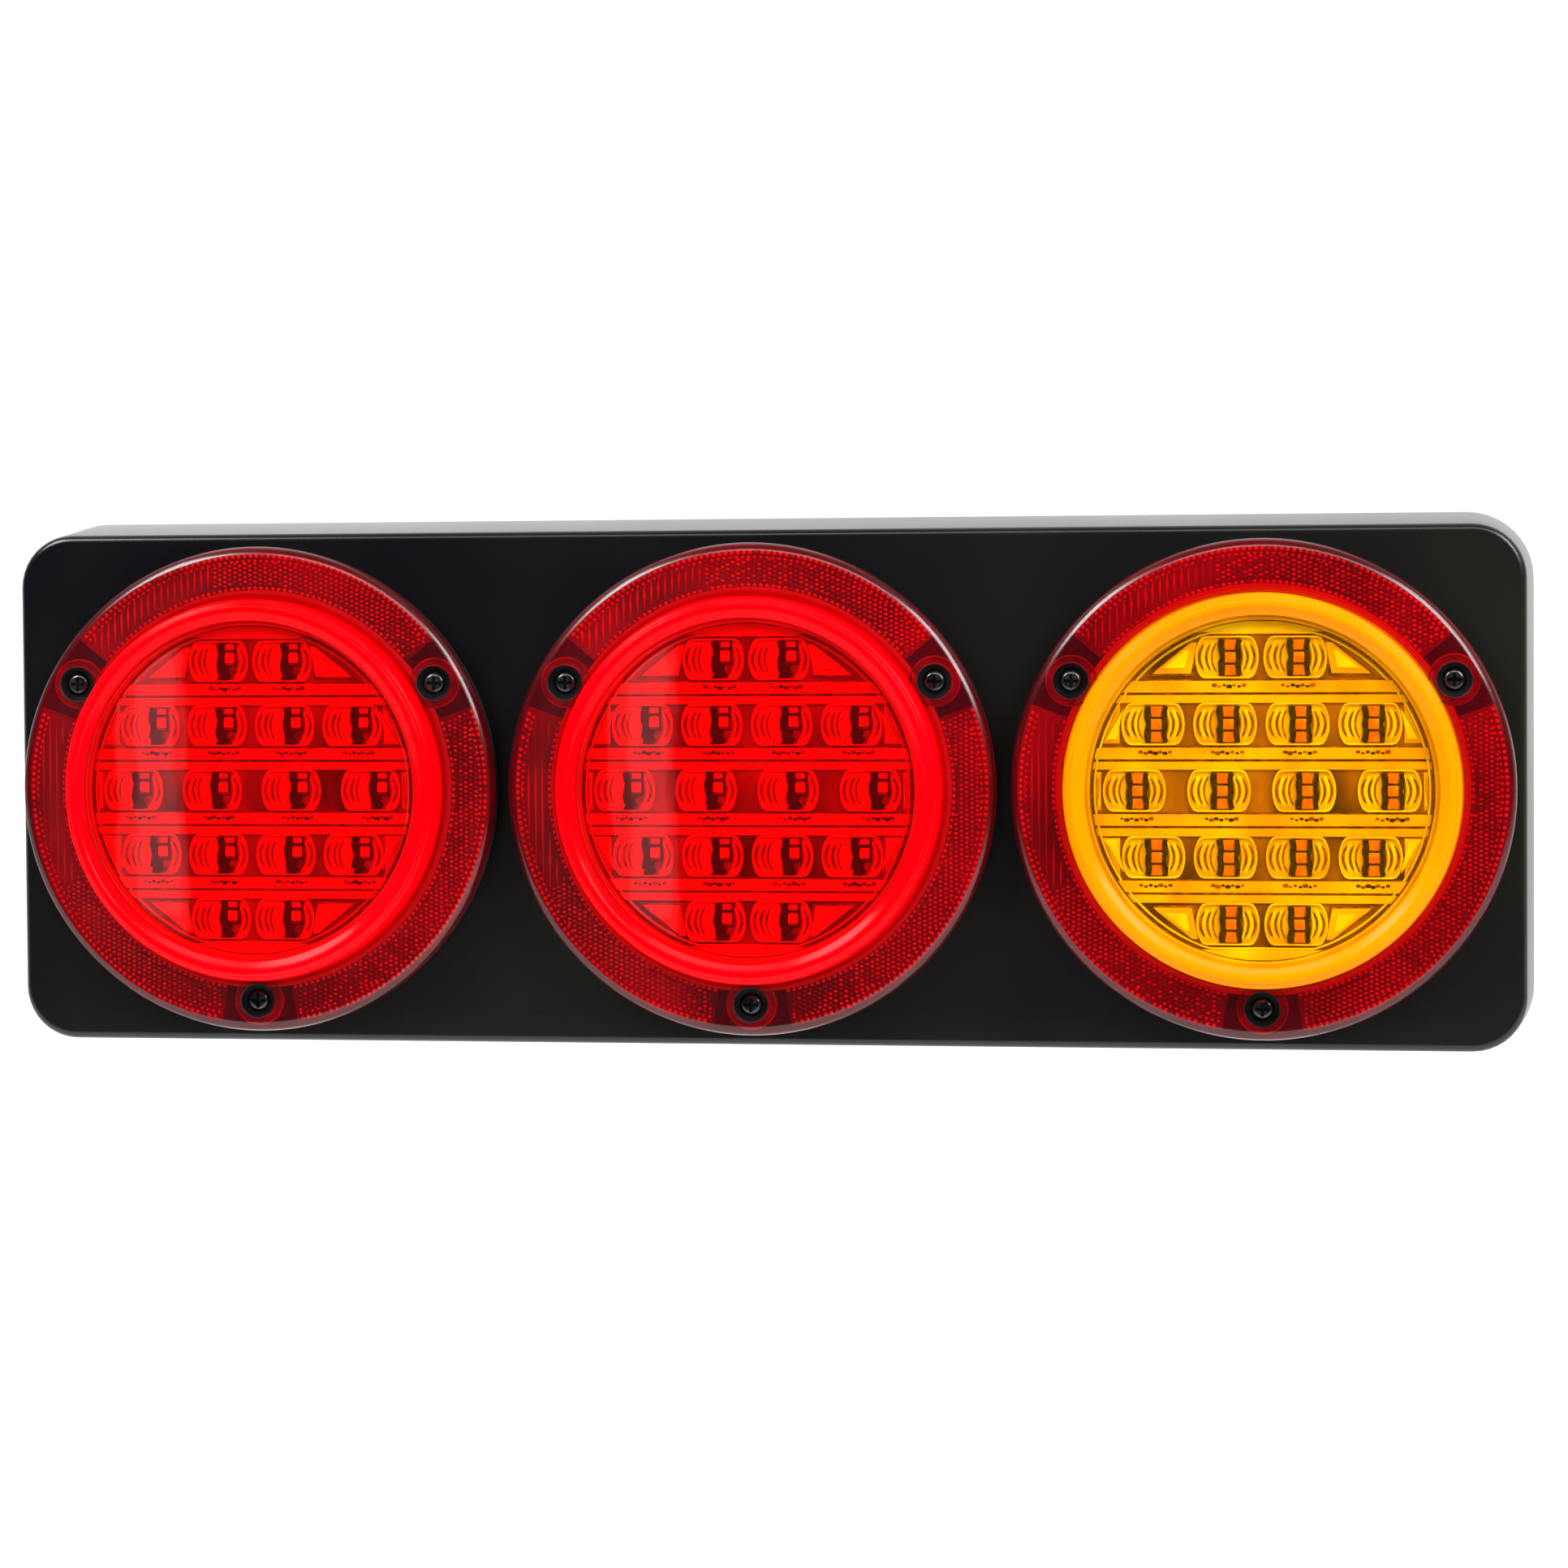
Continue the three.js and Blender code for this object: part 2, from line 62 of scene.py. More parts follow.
def centre_of(node):
    return cad_and_middle(node)[2]


BOX_LOW, BOX_HIGH = cad("housing_box")
PLATE_Y = BOX_LOW.y
BOX_DEPTH = BOX_HIGH.y - BOX_LOW.y


def proud(distance):
    """The y of a point that stands so far in front of the front plate."""
    return PLATE_Y - distance


def proud_of(node):
    """How far a node's back and front stand in front of the front plate."""
    low, high = cad(node)
    return PLATE_Y - high.y, PLATE_Y - low.y


def half_width(node):
    low, high = cad(node)
    return (high.x - low.x) / 2


RING_R = half_width("left_reflector_ring")
RING_BACK, RING_FRONT = proud_of("left_reflector_ring")
FLANGE_R = half_width("left_lens")
LENS_BACK, LENS_CROWN = proud_of("left_lens")
SOCKET_BACK, BODY_FRONT = proud_of("left_lamp_body")
BASE_BACK, BASE_FRONT = proud_of("left_ring_base")
BASE_R = half_width("left_ring_base")
GASKET_BACK, GASKET_FRONT = proud_of("left_panel_gasket")
GASKET_R = half_width("left_panel_gasket")
SEAL_BACK, SEAL_FRONT = proud_of("left_lens_seal")
SEAL_R = half_width("left_lens_seal")
OPTIC_R = half_width("left_optic_plate")
BOARD_R = half_width("left_led_board")
SCREW_HEAD_R = half_width("left_ring_screw_1")
SCREW_PLACES = [
    centre_of(f"left_ring_screw_{i}") - centre_of("left_reflector_ring") for i in (1, 2, 3)
]
SCREW_ANGLES = [math.atan2(p.z, p.x) for p in SCREW_PLACES]

# design sizes that the boxes don't give, in mm
FLARE = 4.0
CORNER_R = 15.0
BOX_WALL = 3.0
BOX_EDGE_R = 2.0
LAMP_HOLE_R = 50.5
RING_INNER_R = 55.6
RING_LIP = 1.7
RECESS_R = 4.7
SCREW_SEAT = 6.6
SCREW_R = 1.9
HOLE_R = 2.2
SOFT_HOLE_R = 2.5
SHARP = 28
LENS_R = 55.0
LENS_INNER_R = 52.2
LENS_STEP = LENS_BACK + 1.7
WINDOW_FRONT = 16.4
WINDOW_BACK = 14.0
WINDOW_R = 48.4
PLATE_FRONT = 12.6
CELL_W = 17.4
CELL_H = 11.6
ROW_PITCH = 18.5
ROWS = (
    (2 * ROW_PITCH, 18.8, 2),
    (ROW_PITCH, 19.9, 4),
    (0.0, 23.4, 4),
    (-ROW_PITCH, 19.9, 4),
    (-2 * ROW_PITCH, 18.8, 2),
)
CELLS = [
    ((i - (count - 1) / 2) * pitch, z) for z, pitch, count in ROWS for i in range(count)
]

# ---- materials


def new_tree(owner):
    """The emptied node tree of a new material or world."""
    owner.use_nodes = True
    owner.node_tree.nodes.clear()
    return owner.node_tree


def add_node(tree, kind, inputs=None, **settings):
    """A shader node. inputs holds a value or a link for each socket's name or number."""
    made = tree.nodes.new("ShaderNode" + kind)
    for name, value in settings.items():
        setattr(made, name, value)
    for socket, value in (inputs or {}).items():
        if isinstance(value, bpy.types.NodeSocket):
            tree.links.new(value, made.inputs[socket])
        else:
            made.inputs[socket].default_value = value
    return made


def noise(tree, scale, detail=3.0, stretch=(1, 1, 1)):
    """Noise in the piece's own space, in units of 1 / scale metres."""
    place = add_node(tree, "TexCoord")
    mapping = add_node(tree, "Mapping", {"Vector": place.outputs["Object"], "Scale": stretch})
    texture = add_node(
        tree, "TexNoise", {"Vector": mapping.outputs["Vector"], "Scale": scale, "Detail": detail})
    return texture.outputs["Fac"]


RAMP_STOPS = (0.35, 0.65)


def ramp(tree, source, *ends):
    """Spreads a noise between two colours, or between two numbers."""
    made = add_node(tree, "ValToRGB", {"Fac": source})
    for element, position, end in zip(made.color_ramp.elements, RAMP_STOPS, ends):
        element.position = position
        element.color = (*(end if isinstance(end, tuple) else (end, end, end)), 1.0)
    return made.outputs["Color"]


def bump(tree, shader, source, height):
    made = add_node(tree, "Bump", {"Height": source, "Distance": height, "Strength": 1.0})
    tree.links.new(made.outputs["Normal"], shader.inputs["Normal"])


def solid_material(name, dark, light, rough, metallic=0.0, grain=60.0, bump_scale=900.0,
                   bump_height=0.00002, coat=0.0, stretch=(1, 1, 1), specular=0.5):
    """A plastic, rubber or metal whose colour and roughness wander a little over its surface."""
    material = bpy.data.materials.new(name)
    tree = new_tree(material)
    wander = noise(tree, grain, stretch=stretch)
    shader = add_node(tree, "BsdfPrincipled", {
        "Base Color": ramp(tree, wander, dark, light), "Roughness": ramp(tree, wander, *rough),
        "Metallic": metallic, "Coat Weight": coat, "Coat Roughness": 0.03,
        "Specular IOR Level": specular})
    bump(tree, shader, noise(tree, bump_scale, stretch=stretch), bump_height)
    add_node(tree, "OutputMaterial", {"Surface": shader.outputs["BSDF"]})
    return material


MIRROR_AT_SLANT, MIRROR_POWER, MIRROR_FACING = 0.9, 5.0, 0.04


def clear_material(name, tint, body, share, rough=0.02):
    """Clear tinted plastic: it shows what is behind it, glows a little with its own colour, and
    mirrors more at a slant. share is how much of it is its own colour."""
    material = bpy.data.materials.new(name)
    tree = new_tree(material)
    own = add_node(tree, "BsdfDiffuse", {"Color": ramp(tree, noise(tree, 30.0), *body)})
    through = add_node(tree, "BsdfTransparent", {"Color": (*tint, 1.0)})
    filled = add_node(
        tree, "MixShader", {"Fac": share, 1: through.outputs["BSDF"], 2: own.outputs["BSDF"]})
    slant = add_node(tree, "LayerWeight", {"Blend": 0.5})
    steep = add_node(
        tree, "Math", {0: slant.outputs["Facing"], 1: MIRROR_POWER}, operation="POWER")
    mirrored = add_node(
        tree, "Math", {0: steep.outputs["Value"], 1: MIRROR_AT_SLANT, 2: MIRROR_FACING},
        operation="MULTIPLY_ADD")
    mirror = add_node(tree, "BsdfGlossy", {"Roughness": rough})
    bump(tree, mirror, noise(tree, 45.0, 2.0), 0.00003)
    mix = add_node(tree, "MixShader", {
        "Fac": mirrored.outputs["Value"], 1: filled.outputs["Shader"], 2: mirror.outputs["BSDF"]})
    add_node(tree, "OutputMaterial", {"Surface": mix.outputs["Shader"]})
    return material


# Black plastic whose colour wanders, over patches about a hand wide, between a cool dark and a warm
# olive dark: the olive patches are painted broad reflections on the box.
BLACK_PLASTIC_AND_REFLECTIONS = solid_material(
    "black_plastic_and_reflections", (0.0015, 0.0017, 0.0034), (0.0072, 0.007, 0.0052), (0.22, 0.29),
    grain=6.0, bump_scale=1400.0, bump_height=0.000006, specular=0.32)
BASE_PLASTIC = solid_material(
    "base_plastic", (0.006, 0.006, 0.007), (0.012, 0.012, 0.013), (0.35, 0.5),
    bump_height=0.00004)
BODY_PLASTIC = solid_material(
    "body_plastic", (0.011, 0.011, 0.012), (0.02, 0.02, 0.022), (0.42, 0.55),
    bump_scale=1500.0, bump_height=0.00006)
RUBBER = solid_material(
    "rubber", (0.012, 0.012, 0.012), (0.03, 0.03, 0.029), (0.75, 0.9), bump_height=0.0001)
BLACK_STEEL = solid_material(
    "black_steel", (0.008, 0.008, 0.009), (0.03, 0.03, 0.033), (0.18, 0.3), metallic=0.5,
    grain=300.0, coat=0.4)
ZINC = solid_material(
    "zinc", (0.35, 0.36, 0.38), (0.46, 0.47, 0.49), (0.3, 0.4), metallic=1.0, grain=210.0,
    bump_scale=700.0, bump_height=0.00003)
# Black for the liner of the screw recesses, darker than the base plastic: the base's own black with
# painted shade in the recess.
RECESS_BLACK_AND_SHADE = solid_material(
    "recess_black_and_shade", (0.0015, 0.0015, 0.002), (0.004, 0.004, 0.005), (0.4, 0.55), specular=0.12)
TINNED_BRASS = solid_material(
    "tinned_brass", (0.6, 0.47, 0.24), (0.78, 0.66, 0.42), (0.2, 0.35), metallic=1.0,
    grain=200.0)
RING_CLEAR = clear_material(
    "ring_clear", (0.92, 0.0, 0.01), ((0.2, 0.0, 0.01), (0.4, 0.0, 0.012)), 0.12, 0.2)
PRISM_BACKING = solid_material(
    "prism_backing", (0.1, 0.0, 0.004), (0.26, 0.0, 0.01), (0.2, 0.3), grain=35.0,
    bump_height=0.00001)
# The next two are one red prism plastic in a lit and a shaded copy: the bright copy paints glints on
# single prisms, and the dim copy paints prisms in shade.
PRISM_SHADED = solid_material(
    "prism_shaded", (0.24, 0.0, 0.004), (0.7, 0.0, 0.012), (0.1, 0.2), grain=40.0,
    bump_height=0.00001)
PRISM_GLINT = solid_material(
    "prism_glint", (0.8, 0.0, 0.004), (1.0, 0.01, 0.02), (0.08, 0.15), grain=60.0,
    bump_height=0.00001, coat=0.3)
PAD_RED = solid_material(
    "pad_red", (0.008, 0.0, 0.003), (0.022, 0.0, 0.006), (0.1, 0.16), grain=60.0,
    bump_height=0.00001)
BOSS_RED = solid_material(
    "boss_red", (0.12, 0.0, 0.004), (0.4, 0.0, 0.01), (0.1, 0.2), grain=120.0, coat=0.5)
TINTS = {
    "red": {
        "window": (1.0, 0.0, 0.004), "share": 0.03,
        "body": ((0.75, 0.0, 0.004), (0.95, 0.001, 0.012)),
        "rim": ((0.8, 0.0, 0.002), (0.95, 0.0, 0.004)),
    },
    "amber": {
        "window": (1.0, 0.93, 0.0), "share": 0.02,
        "body": ((0.9, 0.3, 0.0), (1.0, 0.4, 0.0)),
        "rim": ((0.9, 0.22, 0.0), (1.0, 0.26, 0.0)),
    },
}
WINDOW = {}
RIM = {}
for tint, looks in TINTS.items():
    WINDOW[tint] = clear_material(
        f"{tint}_window", looks["window"], looks["body"], looks["share"])
    RIM[tint] = solid_material(
        f"{tint}_rim", *looks["rim"], (0.13, 0.19), grain=25.0, bump_scale=120.0,
        bump_height=0.00001, specular=0.055)
# Near-white and glossy: the real white of the LED packages on the board, and on the optic the painted
# highlights along its ridges, lines and facets.
OPTIC_WHITE_AND_HIGHLIGHT = solid_material(
    "optic_white_and_highlight", (0.95, 0.56, 0.4), (1.0, 0.88, 0.7), (0.08, 0.2), grain=90.0,
    bump_scale=260.0, bump_height=0.00004, coat=0.3)
OPTIC_FIELD = solid_material(
    "optic_field", (0.05, 0.012, 0.005), (0.5, 0.16, 0.06), (0.15, 0.3), grain=38.0,
    bump_scale=300.0, bump_height=0.00003, coat=0.2, stretch=(1.3, 1.0, 0.6))
OPTIC_BAR = solid_material(
    "optic_bar", (0.85, 0.36, 0.2), (1.0, 0.58, 0.3), (0.1, 0.25), grain=70.0,
    bump_scale=300.0, bump_height=0.00003, coat=0.3)
OPTIC_BROWN = solid_material(
    "optic_brown", (0.1, 0.025, 0.01), (0.4, 0.1, 0.04), (0.15, 0.3), grain=320.0)
OPTIC_DARK = solid_material(
    "optic_dark", (0.004, 0.003, 0.003), (0.025, 0.014, 0.012), (0.2, 0.35), grain=400.0,
    specular=0.2)
LED_ORANGE = solid_material(
    "led_orange", (0.9, 0.13, 0.05), (1.0, 0.2, 0.08), (0.2, 0.35), grain=400.0)
BOARD_MASK = solid_material(
    "board_mask", (0.5, 0.34, 0.2), (0.75, 0.5, 0.3), (0.3, 0.45), grain=90.0, coat=0.2)

# ---- mesh making


BEND_STEPS = 5


def bend(points, closed):
    """Rounds each corner of a line of (a, b) or (a, b, radius) points."""
    result = []
    count = len(points)
    for i, point in enumerate(points):
        here = Vector(point[:2])
        size = point[2] if len(point) > 2 else 0.0
        if size == 0.0 or (not closed and i in (0, count - 1)):
            result.append(tuple(here))
            continue
        before = Vector(points[i - 1][:2]) - here
        after = Vector(points[(i + 1) % count][:2]) - here
        start = here + before.normalized() * min(size, before.length * 0.48)
        stop = here + after.normalized() * min(size, after.length * 0.48)
        for step in range(BEND_STEPS + 1):
            t = step / BEND_STEPS
            result.append(tuple(start * (1 - t) ** 2 + here * 2 * t * (1 - t) + stop * t * t))
    return result


class Mesher:
    """Collects the vertices and faces of one piece, in millimetres, with a material each. What
    adds a body to it hands it back."""

    def __init__(self):
        self.points = []
        self.faces = []
        self.slots = []

    def add(self, points, faces, slot=0):
        start = len(self.points)
        self.points += points
        self.faces += [tuple(start + i for i in face) for face in faces]
        self.slots += [slot] * len(faces)
        return self

    def loft(self, rings, slot=0):
        """A closed body through (outline, y) rings with the same number of points."""
        count = len(rings[0][0])
        points = [(x, y, z) for outline, y in rings for x, z in outline]
        ends = [tuple(reversed(range(count))), tuple(len(points) - count + i for i in range(count))]
        sides = [(k + i, k + (i + 1) % count, k + (i + 1) % count + count, k + i + count)
                 for k in range(0, len(points) - count, count) for i in range(count)]
        return self.add(points, sides + ends, slot)

    def turn(self, profile, steps=144, slot=0, at=(0.0, 0.0)):
        """Turns a profile of (radius, y, corner) about a line along Y. A profile that doesn't
        start on the axis closes on itself. slot is a number, or a function of the radius and y."""
        on_axis = profile[0][0] == 0
        line = bend(profile, not on_axis)
        rows = []
        for radius, y in line:
            count = steps if radius else 1
            rows.append(range(len(self.points), len(self.points) + count))
            angles = [2 * math.pi * i / steps for i in range(count)]
            self.points += [(at[0] + radius * math.sin(a), y, at[1] + radius * math.cos(a))
                            for a in angles]
        for k in range(len(line) - (1 if on_axis else 0)):
            following = (k + 1) % len(line)
            a, b, p, q = rows[k], rows[following], line[k], line[following]
            middle = ((p[0] + q[0]) / 2, (p[1] + q[1]) / 2)
            face_slot = slot(*middle) if callable(slot) else slot
            for i in range(steps):
                j = (i + 1) % steps
                corners = [a[i % len(a)], a[j % len(a)], b[j % len(b)], b[i % len(b)]]
                self.faces.append(tuple(dict.fromkeys(corners)))
                self.slots.append(face_slot)
        return self

    def prism(self, outline, back, front, slot=0, top_inset=0.0):
        """A closed block of an outline of (x, z) points between two depths, its front drawn in."""
        middle = centroid(outline)
        rays = [Vector(point) - middle for point in outline]
        inner = [middle + ray * max(0.0, 1 - top_inset / max(ray.length, 1e-6)) for ray in rays]
        return self.loft([(outline, back), (inner, front)], slot)

    def ridge(self, path, width, base, height, slot=0, closed=False, taper=True):
        """A rounded ridge along (x, z) points, standing on base, towards the viewer (-Y)."""
        section = ((-0.5, 0.0), (-0.3, 0.72), (0.0, 1.0), (0.3, 0.72), (0.5, 0.0))
        count = len(path)
        points = []
        for i, point in enumerate(path):
            last = path[i - 1] if closed or i else point
            following = path[(i + 1) % count] if closed or i < count - 1 else point
            along = (Vector(following) - Vector(last)).normalized()
            side = Vector((-along.y, along.x))
            end = not closed and i in (0, count - 1)
            swell = 0.15 if end and taper else 1.0
            for across, up in section:
                spot = Vector(point) + side * across * width * swell
                points.append((spot.x, base - height * up * swell, spot.y))
        size = len(section)
        faces = []
        for i in range(count if closed else count - 1):
            a, b = i * size, (i + 1) % count * size
            faces += [(a + k, b + k, b + (k + 1) % size, a + (k + 1) % size) for k in range(size)]
        if not closed:
            faces += [tuple(range(size)), tuple(len(points) - 1 - k for k in range(size))]
        return self.add(points, faces, slot)

    def build(self, name, materials, at=(0.0, 0.0), smooth=32.0):
        mesh = bpy.data.meshes.new(name)
        place = Vector((at[0], 0.0, at[1]))
        mesh.from_pydata([(Vector(p) + place) * MM for p in self.points], [], self.faces)
        for material in materials:
            mesh.materials.append(material)
        for polygon, slot in zip(mesh.polygons, self.slots):
            polygon.material_index = slot
        made = bmesh.new()
        made.from_mesh(mesh)
        bmesh.ops.recalc_face_normals(made, faces=made.faces)
        made.to_mesh(mesh)
        made.free()
        shade(mesh, smooth)
        piece = bpy.data.objects.new(name, mesh)
        bpy.context.scene.collection.objects.link(piece)
        return piece


def shade(mesh, angle):
    """Smooth shading with sharp edges where faces meet at more than the angle."""
    mesh.shade_smooth()
    mesh.set_sharp_from_angle(angle=math.radians(angle))


def combine(piece, shape, material, operation="DIFFERENCE", overlaps=False):
    """Cuts from a piece, or joins to it, a collected shape. overlaps says that the shape's own
    parts run into each other."""
    tool = shape.build("tool", [material])
    modifier = piece.modifiers.new("combine", "BOOLEAN")
    modifier.operation = operation
    modifier.object = tool
    modifier.solver = "EXACT"
    modifier.use_self = overlaps
    modifier.material_mode = "TRANSFER"
    graph = bpy.context.evaluated_depsgraph_get()
    made = bpy.data.meshes.new_from_object(piece.evaluated_get(graph), depsgraph=graph)
    piece.modifiers.clear()
    old = piece.data
    piece.data = made
    bpy.data.meshes.remove(old)
    bpy.data.objects.remove(tool)


def dress(piece, body, node, x=0.0, sharp=None, z=0.0):
    """Moves a piece to its own place, marks its sharp edges, hangs it on the body it rides on and
    hides the CAD node it stands for."""
    piece.data.transform(Matrix.Translation((x * MM, 0, z * MM)))
    if sharp:
        shade(piece.data, sharp)
    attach(piece, body)
    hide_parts(node)


# ---- outlines
def rounded_rectangle(width, height, radius, steps=10):
    points = []
    for quarter, (right, up) in enumerate(((1, 1), (-1, 1), (-1, -1), (1, -1))):
        for step in range(steps + 1):
            angle = math.pi / 2 * (quarter + step / steps)
            points.append((right * (width / 2 - radius) + radius * math.cos(angle),
                           up * (height / 2 - radius) + radius * math.sin(angle)))
    return points


def circle(radius, steps):
    angles = [2 * math.pi * i / steps for i in range(steps)]
    return [(radius * math.cos(a), radius * math.sin(a)) for a in angles]


def moved(points, x, z):
    return [(p[0] + x, p[1] + z) for p in points]


def centroid(points):
    return sum((Vector(p) for p in points), Vector((0, 0))) / len(points)


def block(left, right, low, high):
    return [(left, low), (right, low), (right, high), (left, high)]


def standing(points):
    """A profile for turning, from points whose depths are given in front of the plate."""
    return [(radius, proud(depth), *corner) for radius, depth, *corner in points]


def bar(radius, start, stop):
    """The profile of a plain round bar."""
    return [(0, start), (radius, start), (radius, stop), (0, stop)]


def screw_holes(mesher, radius, start, stop, steps, x=0.0):
    """Bars where a ring's three screws go."""
    for place in SCREW_PLACES:
        mesher.turn(bar(radius, start, stop), steps, at=(x + place.x, place.z))


# ---- box
def box_outline(y, inset):
    lean = FLARE * (y - PLATE_Y) / BOX_DEPTH - inset
    size = BOX_HIGH - BOX_LOW
    grown = 2 * (lean - FLARE)
    return rounded_rectangle(size.x + grown, size.z + grown, CORNER_R + lean), y


BOX_EDGE_STEPS = 6
POST_R, POST_TIP_R, POST_TALL = 4.5, 4.2, 8
STRAP_POST_R, STRAP_POST_TIP_R, STRAP_POST_BORE = 5.4, 5, 11
RIB_PLACES = (-200, -108, -36, 36, 108, 200)
RIB_HALF, RIB_REACH, RIB_TALL = 0.9, 14, 9


def make_box():
    shell = Mesher()
    rings = []
    for step in range(BOX_EDGE_STEPS + 1):
        angle = math.pi / 2 * step / BOX_EDGE_STEPS
        rings.append(box_outline(PLATE_Y + BOX_EDGE_R * (1 - math.cos(angle)),
                                 BOX_EDGE_R * (1 - math.sin(angle))))
    rings += [box_outline(BOX_HIGH.y - 0.5, 0.0), box_outline(BOX_HIGH.y, 0.5)]
    shell.loft(rings)
    box = shell.build("box_moulding", [BLACK_PLASTIC_AND_REFLECTIONS])
    hollow = Mesher()
    floor = PLATE_Y + BOX_WALL
    hollow.loft([
        box_outline(floor, BOX_WALL + 1.5), box_outline(floor + 0.45, BOX_WALL + 0.45),
        box_outline(floor + 1.5, BOX_WALL), box_outline(BOX_HIGH.y + 1, BOX_WALL)])
    combine(box, hollow, BODY_PLASTIC)

    added = Mesher()
    bored = Mesher()
    root = floor - 0.5
    for unit in UNITS:
        x = centre_of(f"{unit}_reflector_ring").x
        bored.turn(bar(LAMP_HOLE_R, proud(1), floor + 1), 128, at=(x, 0))
        screw_holes(bored, HOLE_R, proud(1), floor + POST_TALL - 1, 20, x)
        for place in SCREW_PLACES:
            added.turn([(0, root), (POST_R, root), (POST_TIP_R, floor + POST_TALL, 0.4),
                        (0, floor + POST_TALL)], 28, at=(x + place.x, place.z))
    wall = BOX_HIGH.z - FLARE
    for side in ("left", "right"):
        top = cad(f"mounting_strap_{side}")[0].y - 0.3
        for end, sign in (("upper", 1), ("lower", -1)):
            screw = centre_of(f"strap_screw_{side}_{end}")
            at = (screw.x, screw.z)
            added.turn([(0, root), (STRAP_POST_R, root), (STRAP_POST_TIP_R, top, 0.4), (0, top)],
                       32, at=at)
            bored.turn(bar(HOLE_R, top - STRAP_POST_BORE, top + 1), 20, at=at)
            rib = block(screw.x - 1, screw.x + 1, screw.z, sign * (wall - BOX_WALL / 2))
            added.prism(rib, root, top - 4)
    for x in RIB_PLACES:
        for sign in (1, -1):
            rib = block(x - RIB_HALF, x + RIB_HALF, sign * (wall - RIB_REACH), sign * (wall - 1))
            added.prism(rib, root, floor + RIB_TALL)
    combine(box, added, BODY_PLASTIC, "UNION", overlaps=True)
    combine(box, bored, BODY_PLASTIC)
    dress(box, "housing", "housing_box", sharp=SHARP)


# ---- fasteners
RECESS_SIZE, RECESS_DEEP, RECESS_TAPER = 4.3, 1.4, 0.78


def cross_recess():
    """A cross recess as a cutting shape: a plus sign that narrows towards its floor."""
    half, thin = RECESS_SIZE / 2, RECESS_SIZE * 0.11
    outline = []
    for quarter in range(4):
        turned = Matrix.Rotation(-math.pi / 2 * quarter, 2)
        outline += [tuple(turned @ Vector(p)) for p in ((-thin, half), (thin, half), (thin, thin))]
    tool = Mesher().loft([([(x * k, z * k) for x, z in outline], at)
                          for k, at in ((1.0, -1.0), (1.0, 0.0), (RECESS_TAPER, RECESS_DEEP))])
    return tool


def threads(core, crest, start, stop, pitch, root, peak):
    """The profile of a run of thread ridges. root and peak are parts of the pitch."""
    profile = []
    y = start
    while y < stop:
        profile += [(core, y), (core, y + pitch * root), (crest, y + pitch * peak)]
        y += pitch
    return profile


SCREW_HEAD = 2.3
SCREW_CORE_R = SCREW_R * 0.74


def make_screw(name, node, body, material, sign=1):
    """A pan-head screw with a threaded shank, its head towards -Y, or +Y with sign -1."""
    low, high, middle = cad_and_middle(node)
    length = high.y - low.y
    head_r = half_width(node)
    profile = [(0, 0), (head_r * 0.72, 0.02, 1.2), (head_r, SCREW_HEAD * 0.55, 0.9),
               (head_r, SCREW_HEAD, 0.15), (SCREW_R, SCREW_HEAD, 0.1)]
    profile += threads(SCREW_CORE_R, SCREW_R, SCREW_HEAD + 1.2, length - 3.4, 1.4, 0.45, 0.7)
    profile += [(SCREW_CORE_R, length - 2.6), (0, length)]
    shape = Mesher().turn(profile, 48)
    screw = shape.build(name, [material], smooth=40)
    combine(screw, cross_recess(), material)
    turn = Matrix.Rotation(0 if sign > 0 else math.pi, 4, "X")
    start = Vector((middle.x, low.y if sign > 0 else high.y, middle.z))
    screw.data.transform(Matrix.Translation(start * MM) @ turn)
    dress(screw, body, node, sharp=35)


STRAP_HOLES = ((0, 4.7), (52, 2.6), (-52, 2.6))


def make_strap(side):
    node = f"mounting_strap_{side}"
    low, high, middle = cad_and_middle(node)
    outline = rounded_rectangle(high.x - low.x, high.z - low.z, 5)
    shape = Mesher()
    inner = rounded_rectangle(high.x - low.x - 0.8, high.z - low.z - 0.8, 4.6)
    shape.loft([(inner, low.y), (outline, low.y + 0.4), (outline, high.y - 0.4), (inner, high.y)])
    strap = shape.build(f"strap_{side}", [ZINC], at=(middle.x, middle.z))
    holes = Mesher()
    for z, radius in STRAP_HOLES:
        holes.turn(bar(radius, low.y - 1, high.y + 1), 32, at=(middle.x, middle.z + z))
    combine(strap, holes, ZINC)
    dress(strap, "housing", node, sharp=SHARP)


STUD_R, STUD_CORE_R = 4.0, 3.4
HEX_R = 7.5
HEXAGON = [(x, z) for z, x in circle(HEX_R, 6)]


def make_stud(side):
    node = f"mounting_stud_{side}"
    low, high, middle = cad_and_middle(node)
    seat = cad(f"mounting_strap_{side}")[0].y - 0.3
    head = Mesher().prism(HEXAGON, low.y, seat)
    stud = head.build(f"stud_{side}", [ZINC])
    corners = Mesher().turn([(HEX_R - 1.52, low.y - 0.01), (9, low.y - 0.01), (9, seat + 0.01),
                             (HEX_R + 0.3, seat + 0.01), (HEX_R + 0.3, low.y + 0.8)], 64)
    combine(stud, corners, ZINC)
    shank = Mesher().turn([(0, seat - 0.5), (STUD_R, seat - 0.5), (STUD_R, seat + 5)]
                          + threads(STUD_CORE_R, STUD_R, seat + 6, high.y - 2.2, 1.25, 0.15, 0.5)
                          + [(STUD_CORE_R, high.y - 1.4), (2.9, high.y), (0, high.y)], 48)
    combine(stud, shank, ZINC, "UNION")
    dress(stud, "housing", node, middle.x, 35, middle.z)


